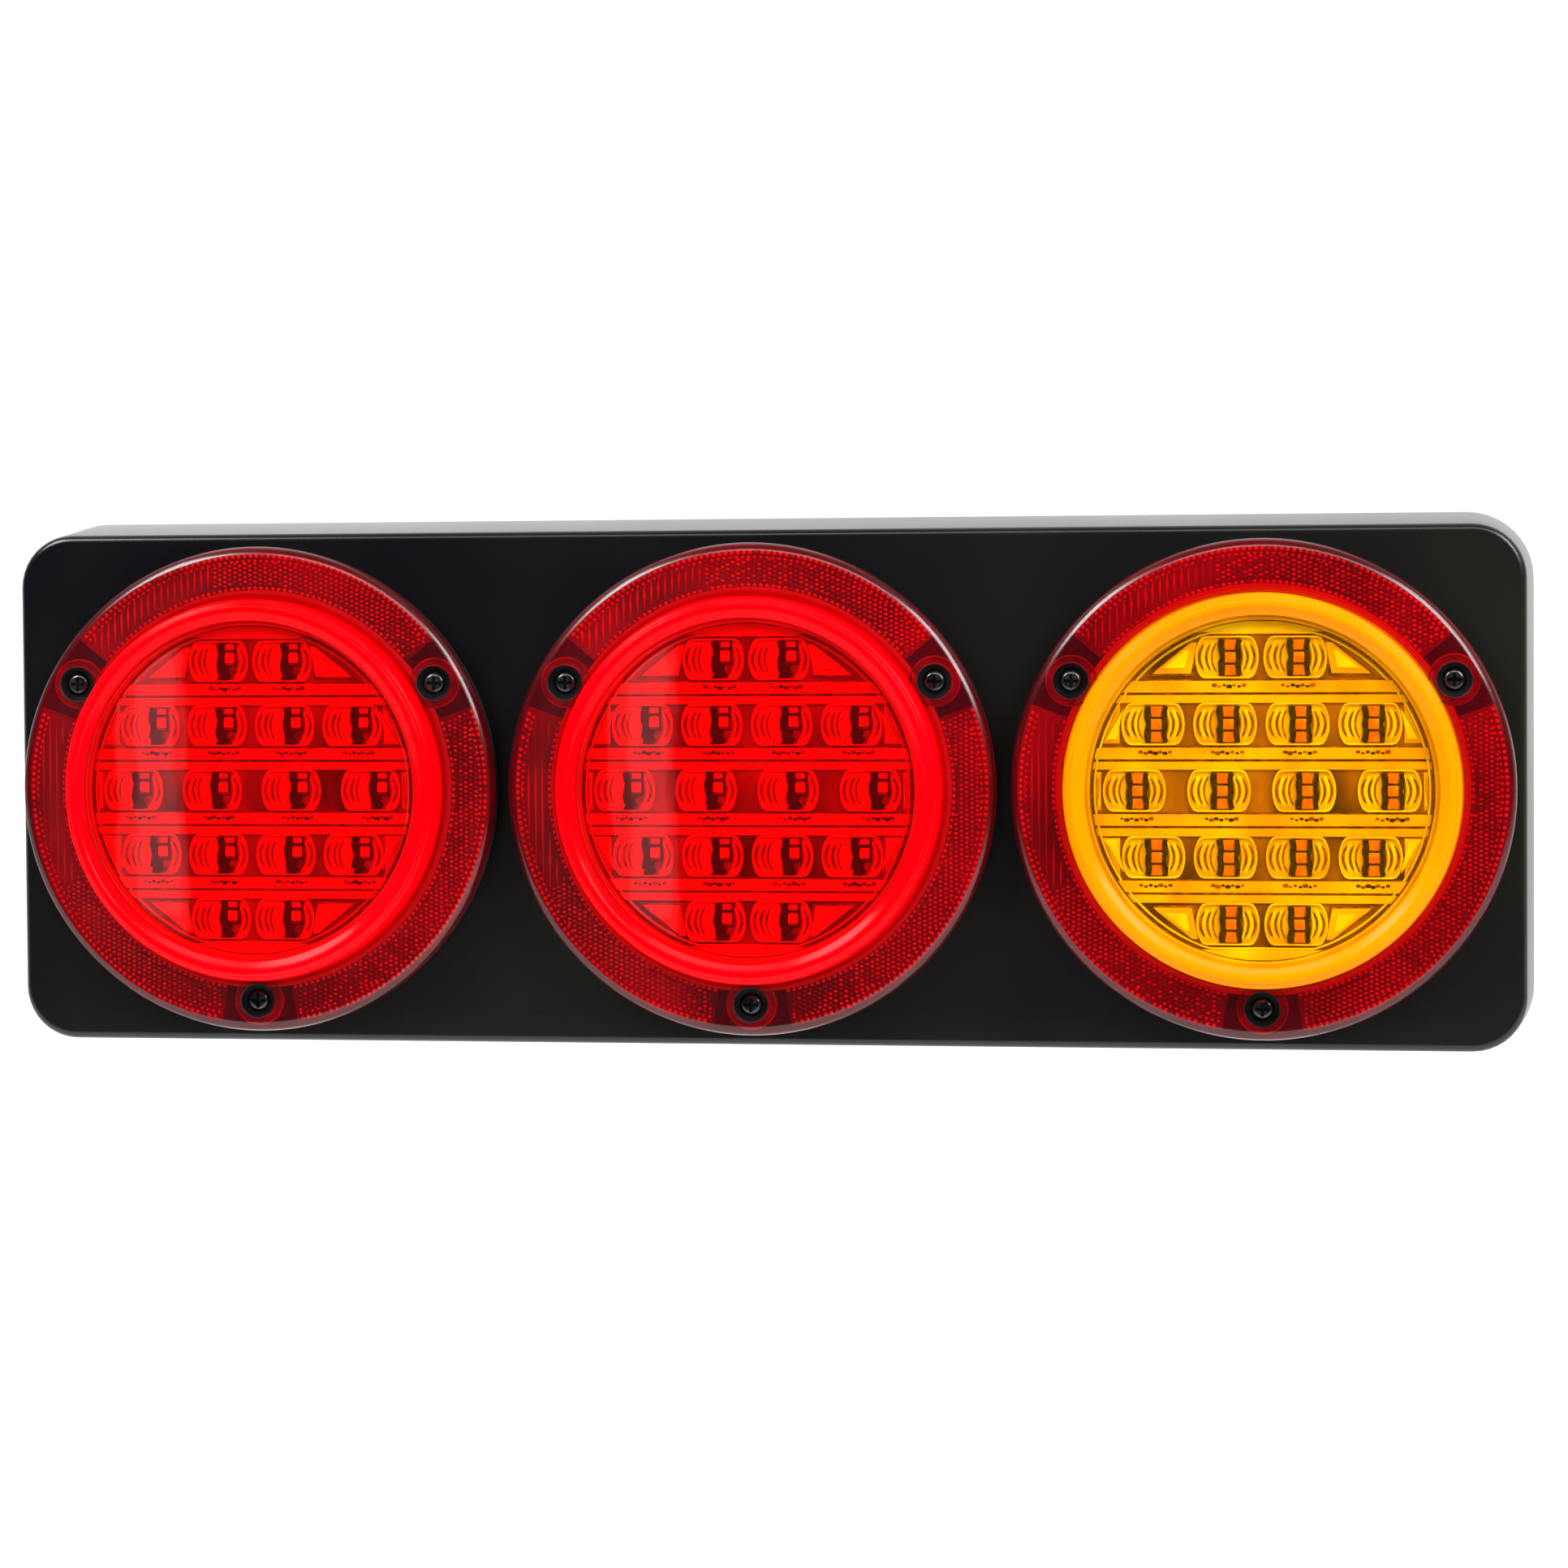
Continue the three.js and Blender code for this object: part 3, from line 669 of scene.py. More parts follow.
def make_nut(side):
    node = f"flange_nut_{side}"
    low, high, middle = cad_and_middle(node)
    body = Mesher().prism(HEXAGON, low.y + 1.2, high.y)
    nut = body.build(f"nut_{side}", [ZINC])
    tool = Mesher()
    tool.turn([(HEX_R - 1.3, high.y + 0.01), (9, high.y + 0.01), (9, low.y), (HEX_R + 0.3, low.y),
               (HEX_R + 0.3, high.y - 0.8)], 64)
    combine(nut, tool, ZINC)
    flange = Mesher()
    flange.turn([(0, low.y), (8.9, low.y, 0.3), (8.9, low.y + 0.9, 0.4), (7.2, low.y + 1.8, 0.5),
                 (0, low.y + 1.8)], 64)
    combine(nut, flange, ZINC, "UNION")
    bore = Mesher().turn([(0, low.y - 1), (4.9, low.y - 0.01), (4.3, low.y + 0.6), (4.3, high.y - 0.6),
                          (4.9, high.y + 0.01), (0, high.y + 1)], 48)
    combine(nut, bore, ZINC)
    dress(nut, "housing", node, middle.x, 35, middle.z)


# ---- reflector ring
PAD_HALF_ANGLE = math.radians(9.5)
PRISM_LOW_R = RING_INNER_R + 1.7
PRISM_HIGH_R = RING_R - 2.3
PRISM_FLOOR = 7.3
PRISM_TOP = 8.2
PRISM_COLUMN = 1.5
PRISM_ROW = 1.3
BORDER_PITCH = 1.75
LINE_PITCH = 2.0
LINE_ZONE = (math.radians(102), math.radians(206))
BOSS_R = 7.3
# slots of the ring's prisms: the backing, prisms in painted shade, and prisms that carry painted glints
BACKING, SHADED, GLINTING = 0, 1, 2


def in_pad(angle, spare=0.0):
    return any(
        abs((angle - pad + math.pi) % (2 * math.pi) - math.pi) < PAD_HALF_ANGLE + spare
        for pad in SCREW_ANGLES
    )


def chance(i, j):
    """A number from 0 to 1 that looks random and is the same each time."""
    return math.sin(i * 12.9898 + j * 78.233) * 43758.5453 % 1


def sector(mesher, start, end, low_r, high_r, back, front, slot=0):
    """A closed block over part of a ring."""
    steps = max(2, round((end - start) / math.radians(2.5)))
    angles = [start + (end - start) * i / steps for i in range(steps + 1)]
    section = [(low_r, back), (high_r, back), (high_r, front), (low_r, front)]
    points = [(r * math.cos(a), y, r * math.sin(a)) for a in angles for r, y in section]
    faces = [(0, 1, 2, 3), tuple(steps * 4 + k for k in (3, 2, 1, 0))]
    faces += [(i + k, i + (k + 1) % 4, i + 4 + (k + 1) % 4, i + 4 + k)
              for i in range(0, steps * 4, 4) for k in range(4)]
    mesher.add(points, faces, slot)


def prism_dot(mesher, x, z, wide, tall, slot):
    """One small six-sided prism with a point towards the front."""
    points = [(x + wide * px, proud(PRISM_FLOOR - 0.1), z + tall * pz) for px, pz in circle(1, 6)]
    points.append((x, proud(PRISM_TOP), z))
    faces = [(k, (k + 1) % 6, 6) for k in range(6)]
    mesher.add(points, faces + [(5, 4, 3, 2, 1, 0)], slot)


def prism_lines(mesher):
    """Fine upright ridges over the ring's left and upper left part."""
    step = 0.35
    for column in range(-int(RING_R / LINE_PITCH), int(RING_R / LINE_PITCH) + 1):
        x = column * LINE_PITCH
        run = []
        for n in range(-int(RING_R / step), int(RING_R / step) + 1):
            z = n * step
            angle = math.atan2(z, x) % (2 * math.pi)
            within = PRISM_LOW_R + 2 < math.hypot(x, z) < PRISM_HIGH_R - 1.6
            if within and LINE_ZONE[0] < angle < LINE_ZONE[1] and not in_pad(angle, 0.02):
                run.append((x, z))
                continue
            if len(run) > 3:
                mesher.ridge([run[0], run[len(run) // 2], run[-1]], 0.95, proud(PRISM_FLOOR - 0.1),
                             0.7, SHADED)
            run = []


def ring_prisms():
    shape = Mesher()
    pads = sorted(angle % (2 * math.pi) for angle in SCREW_ANGLES)
    for pad, following in zip(pads, pads[1:] + [pads[0] + 2 * math.pi]):
        sector(shape, pad + PAD_HALF_ANGLE, following - PAD_HALF_ANGLE, PRISM_LOW_R - 0.6,
               PRISM_HIGH_R + 0.5, proud(RING_BACK + 0.6), proud(PRISM_FLOOR), BACKING)
    # border dots: most carry painted glints, the rest painted shade
    for radius, size in ((PRISM_LOW_R + 0.6, 0.66), (PRISM_HIGH_R - 0.5, 0.66),
                         (PRISM_HIGH_R - 1.9, 0.5)):
        count = round(2 * math.pi * radius / BORDER_PITCH)
        for n in range(count):
            angle = 2 * math.pi * n / count
            if not in_pad(angle, 0.012):
                prism_dot(shape, radius * math.cos(angle), radius * math.sin(angle), size, size,
                          GLINTING if chance(n, radius) > 0.15 else SHADED)
    prism_lines(shape)
    columns = int(RING_R / PRISM_COLUMN)
    rows = int(RING_R / PRISM_ROW)
    for i in range(-columns, columns + 1):
        for j in range(-rows, rows + 1):
            x, z = i * PRISM_COLUMN, (j + 0.5 * (i % 2)) * PRISM_ROW
            angle = math.atan2(z, x) % (2 * math.pi)
            within = PRISM_LOW_R + 1.6 < math.hypot(x, z) < PRISM_HIGH_R - 2.4
            if within and not in_pad(angle, 0.015) and not LINE_ZONE[0] < angle < LINE_ZONE[1]:
                # about four in ten of the field's dots carry painted glints, the rest painted shade
                prism_dot(shape, x, z, 0.66, 0.46, GLINTING if chance(i, j) > 0.58 else SHADED)
    return shape


def make_ring(unit, x):
    # The ring's inner wall takes the black base plastic instead of the clear red: a painted shadow, the
    # thin dark line in the gap between ring and lens.
    shape = Mesher().turn(standing([
        (FLANGE_R + 0.3, RING_BACK), (RING_R - 0.1, RING_BACK, 0.2), (RING_R, RING_FRONT - 3.0, 0.4),
        (RING_R - 0.6, RING_FRONT - 1.2, 0.8), (RING_R - 2.4, RING_FRONT, 0.9),
        (RING_INNER_R + 0.5, RING_FRONT - 0.1, 0.4), (RING_INNER_R, RING_FRONT - 0.9, 0.2),
        (RING_INNER_R, RING_FRONT - RING_LIP), (FLANGE_R + 0.3, RING_FRONT - RING_LIP),
    ]), 240, lambda radius, y: 1 if radius < RING_INNER_R + 0.1 else 0)
    ring = shape.build(f"{unit}_ring_lens", [RING_CLEAR, BASE_PLASTIC])
    tool = Mesher()
    for place in SCREW_PLACES:
        at = (place.x, place.z)
        tool.turn(standing([
            (0, RING_FRONT + 1), (RECESS_R + 0.6, RING_FRONT + 0.4), (RECESS_R, RING_FRONT - 0.5, 0.2),
            (RECESS_R, SCREW_SEAT), (0, SCREW_SEAT)]), 48, at=at)
        tool.turn(bar(HOLE_R, proud(SCREW_SEAT - 1), proud(RING_BACK - 1)), 24, at=at)
        tool.turn(bar(HOLE_R, proud(SCREW_SEAT + 0.01), proud(SCREW_SEAT - 1.01)), 24, at=at)
    combine(ring, tool, BASE_PLASTIC)
    dress(ring, f"{unit}_lamp_unit", f"{unit}_reflector_ring", x, SHARP)

    facets = ring_prisms().build(
        f"{unit}_ring_prisms", [PRISM_BACKING, PRISM_SHADED, PRISM_GLINT], at=(x, 0), smooth=5)
    pads = Mesher()
    for pad in SCREW_ANGLES:
        sector(pads, pad - PAD_HALF_ANGLE, pad + PAD_HALF_ANGLE, PRISM_LOW_R - 0.6,
               PRISM_HIGH_R + 0.5, proud(RING_BACK + 0.1), proud(RING_BACK + 0.9))
    boss = standing([
        (RECESS_R + 0.15, RING_BACK + 0.2), (BOSS_R, RING_BACK + 0.2), (BOSS_R, PRISM_TOP - 0.4, 0.2),
        (BOSS_R - 0.4, PRISM_TOP, 0.2), (BOSS_R - 0.8, PRISM_TOP - 0.4, 0.2),
        (RECESS_R + 0.5, PRISM_TOP - 1, 0.2), (RECESS_R + 0.15, PRISM_TOP - 0.2, 0.1)])
    # the liner paints each screw recess black and darker than the base plastic: partly the base's black,
    # partly painted shade
    liner = standing([
        (SCREW_HEAD_R + 0.1, RING_FRONT - 1.9), (RECESS_R - 0.05, RING_FRONT - 1.9),
        (RECESS_R - 0.05, RING_FRONT - 0.5, 0.1), (RECESS_R - 0.3, RING_FRONT - 0.5, 0.1),
        (RECESS_R - 0.4, RING_FRONT - 1.6, 0.2), (SCREW_HEAD_R + 0.1, RING_FRONT - 1.6, 0.1)])
    for place in SCREW_PLACES:
        pads.turn(boss, 56, 1, (place.x, place.z))
        pads.turn(liner, 48, 2, (place.x, place.z))
    mounts = pads.build(f"{unit}_ring_pads", [PAD_RED, BOSS_RED, RECESS_BLACK_AND_SHADE], at=(x, 0))
    for piece in (facets, mounts):
        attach(piece, f"{unit}_lamp_unit")


def make_ring_base(unit, x):
    shape = Mesher()
    inner = LAMP_HOLE_R - 0.2
    shape.turn(standing([
        (inner, BASE_BACK), (BASE_R, BASE_BACK, 0.4), (BASE_R, BASE_FRONT, 0.3),
        (FLANGE_R + 0.3, BASE_FRONT, 0.1), (FLANGE_R + 0.3, BASE_BACK + 1.1),
        (inner, BASE_BACK + 1.1, 0.2)]), 192)
    base = shape.build(f"{unit}_base_ring", [BASE_PLASTIC])
    tool = Mesher()
    screw_holes(tool, HOLE_R, proud(BASE_BACK - 1), proud(BASE_FRONT + 1), 24)
    combine(base, tool, BASE_PLASTIC)
    dress(base, f"{unit}_lamp_unit", f"{unit}_ring_base", x, SHARP)


def make_seals(unit, x):
    inner = LAMP_HOLE_R + 0.5
    gasket = Mesher().turn(standing([
        (inner, GASKET_BACK, 0.2), (GASKET_R, GASKET_BACK, 0.3), (GASKET_R, GASKET_FRONT, 0.3),
        (inner, GASKET_FRONT, 0.2)]), 160)
    piece = gasket.build(f"{unit}_gasket", [RUBBER], at=(x, 0))
    tool = Mesher()
    screw_holes(tool, SOFT_HOLE_R, proud(GASKET_BACK - 1), proud(GASKET_FRONT + 1), 20, x)
    combine(piece, tool, RUBBER)
    dress(piece, f"{unit}_lamp_unit", f"{unit}_panel_gasket", sharp=SHARP)
    inner = SEAL_R - 4
    seal = Mesher().turn(standing([
        (inner, SEAL_BACK, 0.3), (SEAL_R, SEAL_BACK, 0.3), (SEAL_R, SEAL_FRONT, 0.3),
        (inner, SEAL_FRONT, 0.3)]), 96)
    dress(seal.build(f"{unit}_seal", [RUBBER]), f"{unit}_lamp_unit", f"{unit}_lens_seal", x)


# ---- lens
def make_lens(unit, x, tint):
    shape = Mesher().turn(standing([
        (0, WINDOW_FRONT), (WINDOW_R - 2.5, WINDOW_FRONT), (WINDOW_R - 1.2, WINDOW_FRONT),
        (WINDOW_R, WINDOW_FRONT - 0.15), (WINDOW_R + 0.6, WINDOW_FRONT, 0.25),
        (WINDOW_R + 2.5, LENS_CROWN - 0.5, 0.4), (WINDOW_R + 2.75, LENS_CROWN - 0.15, 0.1),
        (WINDOW_R + 3.7, LENS_CROWN, 0.3), (WINDOW_R + 4.35, LENS_CROWN - 0.15, 0.2),
        (WINDOW_R + 4.6, LENS_CROWN - 0.6, 0.15), (WINDOW_R + 5.6, LENS_CROWN - 0.9, 0.7),
        (LENS_R - 0.1, LENS_CROWN - 3.2, 1.2), (LENS_R, LENS_STEP), (FLANGE_R, LENS_STEP, 0.3),
        (FLANGE_R, LENS_BACK, 0.3), (LENS_INNER_R, LENS_BACK), (LENS_INNER_R, WINDOW_BACK, 0.4),
        (LENS_INNER_R - 1.2, WINDOW_BACK), (0, WINDOW_BACK),
    ]), 240, lambda radius, y: 0 if radius < WINDOW_R + 0.4 else 1)
    lens = shape.build(f"{unit}_lens_moulding", [WINDOW[tint], RIM[tint]], smooth=30)
    dress(lens, f"{unit}_lamp_unit", f"{unit}_lens", x)


# ---- optic plate
FRAME_R, FRAME_FLAT, RIM_R = 47.2, 43.8, 49.6
# the optic's slots; the first paints highlights on its ridges, lines and facets
HIGHLIGHT, FIELD, BAR, BROWN, DARK, GLOW = range(6)
STRIP_SHIFT = {"red": 2.8, "amber": 0.9}


def chord(z, radius):
    return math.sqrt(max(radius * radius - z * z, 0.0))


def raised(mesher, outline, height, slot, inset=0.5):
    """A flat-topped block on the plate, its top drawn in."""
    mesher.prism(outline, proud(PLATE_FRONT), proud(PLATE_FRONT + height), slot, inset)


def band(mesher, z0, z1, height, slot):
    """A flat-topped strip right across the plate between two heights."""
    ends = (chord(z0, FRAME_R), chord(z1, FRAME_R))
    arc = [(ends[0] * (1 - t) + ends[1] * t, z0 * (1 - t) + z1 * t) for t in (0, 0.5, 1)]
    raised(mesher, arc + [(-px, pz) for px, pz in reversed(arc)], height, slot, 0.25)


def arc_line(side, reach, half_height, bulge, steps=10):
    """One bracket of a cell: an upright line that bows away from the cell's middle."""
    heights = [half_height * (2 * i / steps - 1) for i in range(steps + 1)]
    return [(side * (reach - bulge * (v / half_height) ** 2), v) for v in heights]


def cell_outline(width, height):
    """Flat top and bottom, rounded corners, and sides that bow out."""
    corner = [(1.0, 0.0), (0.985, 0.3), (0.94, 0.58), (0.87, 0.82), (0.8, 0.95), (0.7, 1.0)]
    right = [(px, -pz) for px, pz in reversed(corner[1:])] + corner
    left = [(-px, -pz) for px, pz in right]
    return [(px * width / 2, pz * height / 2) for px, pz in right + left]


# a cell's brackets: distance from its middle, width, half height and slot; the bright slot paints
# highlights
BRACKETS = ((7.6, 0.6, 3.6, BROWN), (6.6, 0.95, 4.3, HIGHLIGHT), (5.7, 0.6, 3.7, BROWN),
            (4.85, 0.7, 4.6, HIGHLIGHT), (4.1, 0.4, 4.2, BROWN))


def make_cell(mesher, x, z, shift, hooked):
    """One optic of the plate: nested brackets at both ends, and between them the LED, as it shows
    through the plate, in an upright strip with dark uneven edges."""
    floor = proud(PLATE_FRONT)
    top = floor - 0.25
    mesher.prism(moved(cell_outline(CELL_W, CELL_H), x, z), floor, top, BAR, 0.2)
    # the outline ridge and every other bracket carry painted highlights
    mesher.ridge(moved(cell_outline(CELL_W - 0.4, CELL_H - 0.4), x, z), 0.6, top, 0.7, HIGHLIGHT,
                 closed=True)
    for side in (-1, 1):
        for reach, width, tall, kind in BRACKETS:
            path = moved(arc_line(side, reach, tall, 1.3), x, z)
            mesher.ridge(path, width, top, 0.3 if kind == BROWN else 0.5, kind)
    middle = x + shift
    if hooked:
        make_hooked_strip(mesher, middle, z, top)
    else:
        make_ladder_strip(mesher, middle, z, top)


STRIP_TALL, STRIP_FACE = 0.52, 0.5


def plates(mesher, x, z, back, parts):
    """Flat plates on the optic, each an outline, its height, its slot and how far it draws in."""
    for outline, tall, slot, inset in parts:
        mesher.prism(moved(outline, x, z), back, back - tall, slot, inset)


def make_ladder_strip(mesher, x, z, top):
    """The LED seen from nearly straight in front: a square between two dark rails."""
    strip = [(-2.9, -5.2), (2.7, -5.2), (2.0, -1.6), (2.0, 1.6), (2.7, 5.2), (-2.9, 5.2),
             (-2.2, 1.6), (-2.2, -1.6)]
    plates(mesher, x, z, top, [(strip, STRIP_TALL, BROWN, 0.05)])
    face = top - STRIP_FACE
    neck = [(-1.5, -4.9), (1.6, -4.9), (1.2, -2.1), (-1.2, -2.1)]
    plates(mesher, x, z, face, [
        (neck, 0.12, GLOW, 0.05), ([(px, -pz) for px, pz in reversed(neck)], 0.12, GLOW, 0.05),
        (rounded_rectangle(3.0, 3.0, 0.3, 2), 0.2, GLOW, 0.2)])
    wobble = [0.25 * math.sin(2.1 * k + x + 3 * z) for k in range(7)]
    for side, width in ((-1, 1.75), (1, 1.35)):
        rail = [(x + side * (2.15 + 0.1 * abs(k - 3)) + wobble[k], z + 5.0 - k * 10.0 / 6)
                for k in range(7)]
        mesher.ridge(rail, width, face, 0.3, DARK, taper=False)
    for v in (-1.75, 1.75):
        mesher.ridge([(x - 3.0, z + v), (x + 2.7, z + v)], 0.55, face, 0.34, DARK, taper=False)


def make_hooked_strip(mesher, x, z, top):
    """The LED seen from the right: a dark square with a heavy left side that ends in a foot."""
    sway = [0.35 * math.sin(1.7 * k + 2 * x + z) for k in range(6)]
    strip = [(-2.6, -5.2), (1.4, -5.2), (2.9, -1.9), (2.9, 5.2), (-2.6, 5.2)]
    plates(mesher, x, z, top, [(strip, STRIP_TALL, BROWN, 0.05)])
    face = top - STRIP_FACE
    foot = [(-2.9 + sway[0], -5.3), (0.2 + sway[1], -5.3), (1.3, -4.2), (0.3, -3.0), (0.9, -1.5),
            (-2.5, -1.5), (-2.1 + sway[2], -3.2)]
    plates(mesher, x, z, face, [
        (moved(rounded_rectangle(3.0, 2.9, 0.4, 2), 0.7, 0.9), 0.25, GLOW, 0.2),
        (moved(rounded_rectangle(2.6, 1.5, 0.3, 2), 0.8, 4.1), 0.15, GLOW, 0.2),
        (foot, 0.28, DARK, 0.1)])
    rail = [(x - 1.9 + sway[k], z + 5.1 - k * 1.75) for k in range(6)]
    mesher.ridge(rail, 2.1, face, 0.3, DARK, taper=False)
    frame_line = moved([(-0.9, 3.0), (2.4, 3.0), (2.5, -1.3), (-0.9, -1.3)], x, z)
    mesher.ridge(frame_line, 0.75, face, 0.34, DARK, closed=True)
    mesher.ridge([(x + 2.4, z + 5.1), (x + 2.4, z + 3.0)], 0.6, face, 0.3, DARK, taper=False)


# below a row's middle: a ledge's lower and upper edge, its height and slot
LEDGES = ((6.5, 6.1, 0.2, BROWN), (9.7, 6.5, 0.75, BAR), (10.4, 9.7, 0.15, BROWN),
          (12.6, 10.4, 0.6, BAR))


def make_bars(mesher, z, pitch, count, shift):
    """The two ledges below a row of cells, and the small dark marks under each LED."""
    for low, high, height, kind in LEDGES:
        band(mesher, z - low, z - high, height, kind)
    upper, lower = chord(z - 9.4, FRAME_R - 1), chord(z - 12.4, FRAME_R - 1)
    reach = pitch * count / 2 * 0.7
    # the two bright lines along the ledges are painted highlights
    for left, right, below, width, base, height, kind in (
            (-upper, upper, 9.45, 0.5, 0.7, 0.3, HIGHLIGHT),
            (-lower, lower, 12.35, 0.45, 0.55, 0.3, HIGHLIGHT),
            (3 - reach, reach + 4, 10.1, 0.4, 0.1, 0.25, DARK),
            (-reach, reach + 2, 11.3, 0.35, 0.55, 0.15, BROWN)):
        mesher.ridge([(left, z - below), (right, z - below)], width, proud(PLATE_FRONT + base),
                     height, kind)
    for i in range(count):
        mark_x = (i - (count - 1) / 2) * pitch + shift * 0.7
        for n in range(7):
            size = 0.5 + 0.5 * chance(n, i + z)
            mark = [(0.9 * size * px, 0.6 * size * pz) for px, pz in circle(1, 8)]
            mesher.prism(moved(mark, mark_x + (n - 3) * 1.35, z - 7.7 - 0.35 * (n % 2)),
                         proud(PLATE_FRONT + 0.7), proud(PLATE_FRONT + 0.85),
                         DARK if n in (2, 3, 5) else BROWN)


def make_row_ends(mesher):
    """Slanting facets that fill what the cells leave of each row."""
    for z, pitch, count in ROWS:
        reach = (count - 1) / 2 * pitch + CELL_W / 2 + 0.5
        lean = 1 if z >= 0 else -1
        # in both kinds of row end the innermost, brightest facet is a painted highlight
        facets = []
        if count == 2:
            low, high = z - lean * 5.2, z + lean * 5.0
            edge = chord(low, FRAME_R - 2)
            corners = [(reach, low), (edge - 1.0, low), (edge - 2.2, low + lean * 1.2),
                       (chord(high, FRAME_R - 2), high), (reach, high)]
            middle = centroid(corners)
            for scale, height, kind in ((1.0, 0.6, BROWN), (0.9, 0.8, BAR), (0.55, 1.0, HIGHLIGHT)):
                facets.append(([tuple(middle + (Vector(p) - middle) * scale) for p in corners],
                               height, kind))
        else:
            inward, outward = z - lean * 5.4, z + lean * 5.2
            for inset, height, kind in ((0.0, 0.5, BAR), (0.9, 1.0, HIGHLIGHT)):
                edge = FRAME_R - 1.4 - inset
                near, far = inward + lean * inset, outward - lean * inset
                facets.append(([
                    (reach + inset, near), (chord(inward, edge), near), (chord(z, edge), z),
                    (chord(outward, edge), far),
                    (min(reach + inset, chord(outward, edge) - 0.2), far)], height, kind))
        for side in (-1, 1):
            for corners, height, kind in facets:
                raised(mesher, ordered([(side * x, z) for x, z in corners]), height, kind)


def ordered(points):
    """The points of an outline in order round their middle."""
    middle = centroid(points)
    return sorted(points, key=lambda p: math.atan2(p[1] - middle.y, p[0] - middle.x))


def make_frame_lines(mesher):
    """The line round the optics, with a flat top and bottom, and the thin one outside it."""
    half = chord(FRAME_FLAT, FRAME_R)
    # the flat-ended line and the inner ring line carry painted highlights
    for sign in (1, -1):
        segment = [(half * t, sign * chord(half * t, FRAME_R))
                   for t in (-1, -0.8, -0.55, -0.25, 0.0, 0.25, 0.55, 0.8, 1)]
        raised(mesher, ordered(segment), 0.6, HIGHLIGHT, 0.3)
    top = WINDOW_BACK - 0.3
    mesher.turn(standing([(FRAME_R, PLATE_FRONT), (RIM_R, PLATE_FRONT), (RIM_R, top),
                          (FRAME_R + 0.6, top, 0.3)]), 160, BAR)
    for radius, width, kind in ((FRAME_R - 1.0, 0.8, HIGHLIGHT), (FRAME_R - 0.1, 0.4, BROWN)):
        path = [(x, max(-FRAME_FLAT, min(FRAME_FLAT, z))) for x, z in circle(radius, 120)]
        mesher.ridge(path, width, proud(PLATE_FRONT), 0.8, kind, closed=True)


def make_optic(unit, x, tint):
    shape = Mesher()
    inner = OPTIC_R - 2
    shape.turn(standing([
        (0, PLATE_FRONT), (FRAME_R + 0.5, PLATE_FRONT), (OPTIC_R, PLATE_FRONT + 0.6, 0.3),
        (OPTIC_R, SEAL_BACK), (inner, SEAL_BACK), (inner, PLATE_FRONT - 1.6), (0, PLATE_FRONT - 1.6),
    ]), 160, lambda radius, y: BAR if radius > FRAME_R else FIELD)
    for cell_x, cell_z in CELLS:
        make_cell(shape, cell_x, cell_z, STRIP_SHIFT[tint], tint == "red")
    for z, pitch, count in ROWS[:-1]:
        make_bars(shape, z, pitch, count, STRIP_SHIFT[tint])
    make_row_ends(shape)
    make_frame_lines(shape)
    looks = [OPTIC_WHITE_AND_HIGHLIGHT, OPTIC_FIELD, OPTIC_BAR, OPTIC_BROWN, OPTIC_DARK, LED_ORANGE]
    piece = shape.build(f"{unit}_optic", looks, smooth=50)
    dress(piece, f"{unit}_lamp_unit", f"{unit}_optic_plate", x)


BOARD_BACK, BOARD_FRONT = 2.8, 2.8 + 1.6
LED_SIZE, LED_TALL, LED_DOME_R = 5, 1.6, 1.9


def make_board(unit, x):
    shape = Mesher()
    shape.turn(standing([(0, BOARD_FRONT), (BOARD_R, BOARD_FRONT, 0.2), (BOARD_R, BOARD_BACK, 0.2),
                         (0, BOARD_BACK)]), 120)
    top = BOARD_FRONT + LED_TALL
    for cell_x, cell_z in CELLS:
        square = rounded_rectangle(LED_SIZE, LED_SIZE, 0.6, 3)
        shape.prism(moved(square, cell_x, cell_z), proud(BOARD_FRONT), proud(top), 1, 0.3)
        shape.prism(moved(circle(LED_DOME_R, 20), cell_x, cell_z), proud(top), proud(top + 0.15), 2, 0.3)
    piece = shape.build(f"{unit}_board", [BOARD_MASK, OPTIC_WHITE_AND_HIGHLIGHT, LED_ORANGE])
    dress(piece, f"{unit}_lamp_unit", f"{unit}_led_board", x)


# ---- lamp body and terminals
BODY_R, BODY_INNER_R, BODY_MOUTH_R = 49.8, 45.2, 47.5
BODY_WALL = 2.5
SOCKET_DEEP = 8
SLOT_PITCH = 8
VENT_RINGS, VENT_RIBS = (41.5, 35.0), 16
VENT_CORNERS = ((36.2, -0.7), (40.3, -0.7), (40.3, 0.7), (36.2, 0.7))
CAP_Z = -21


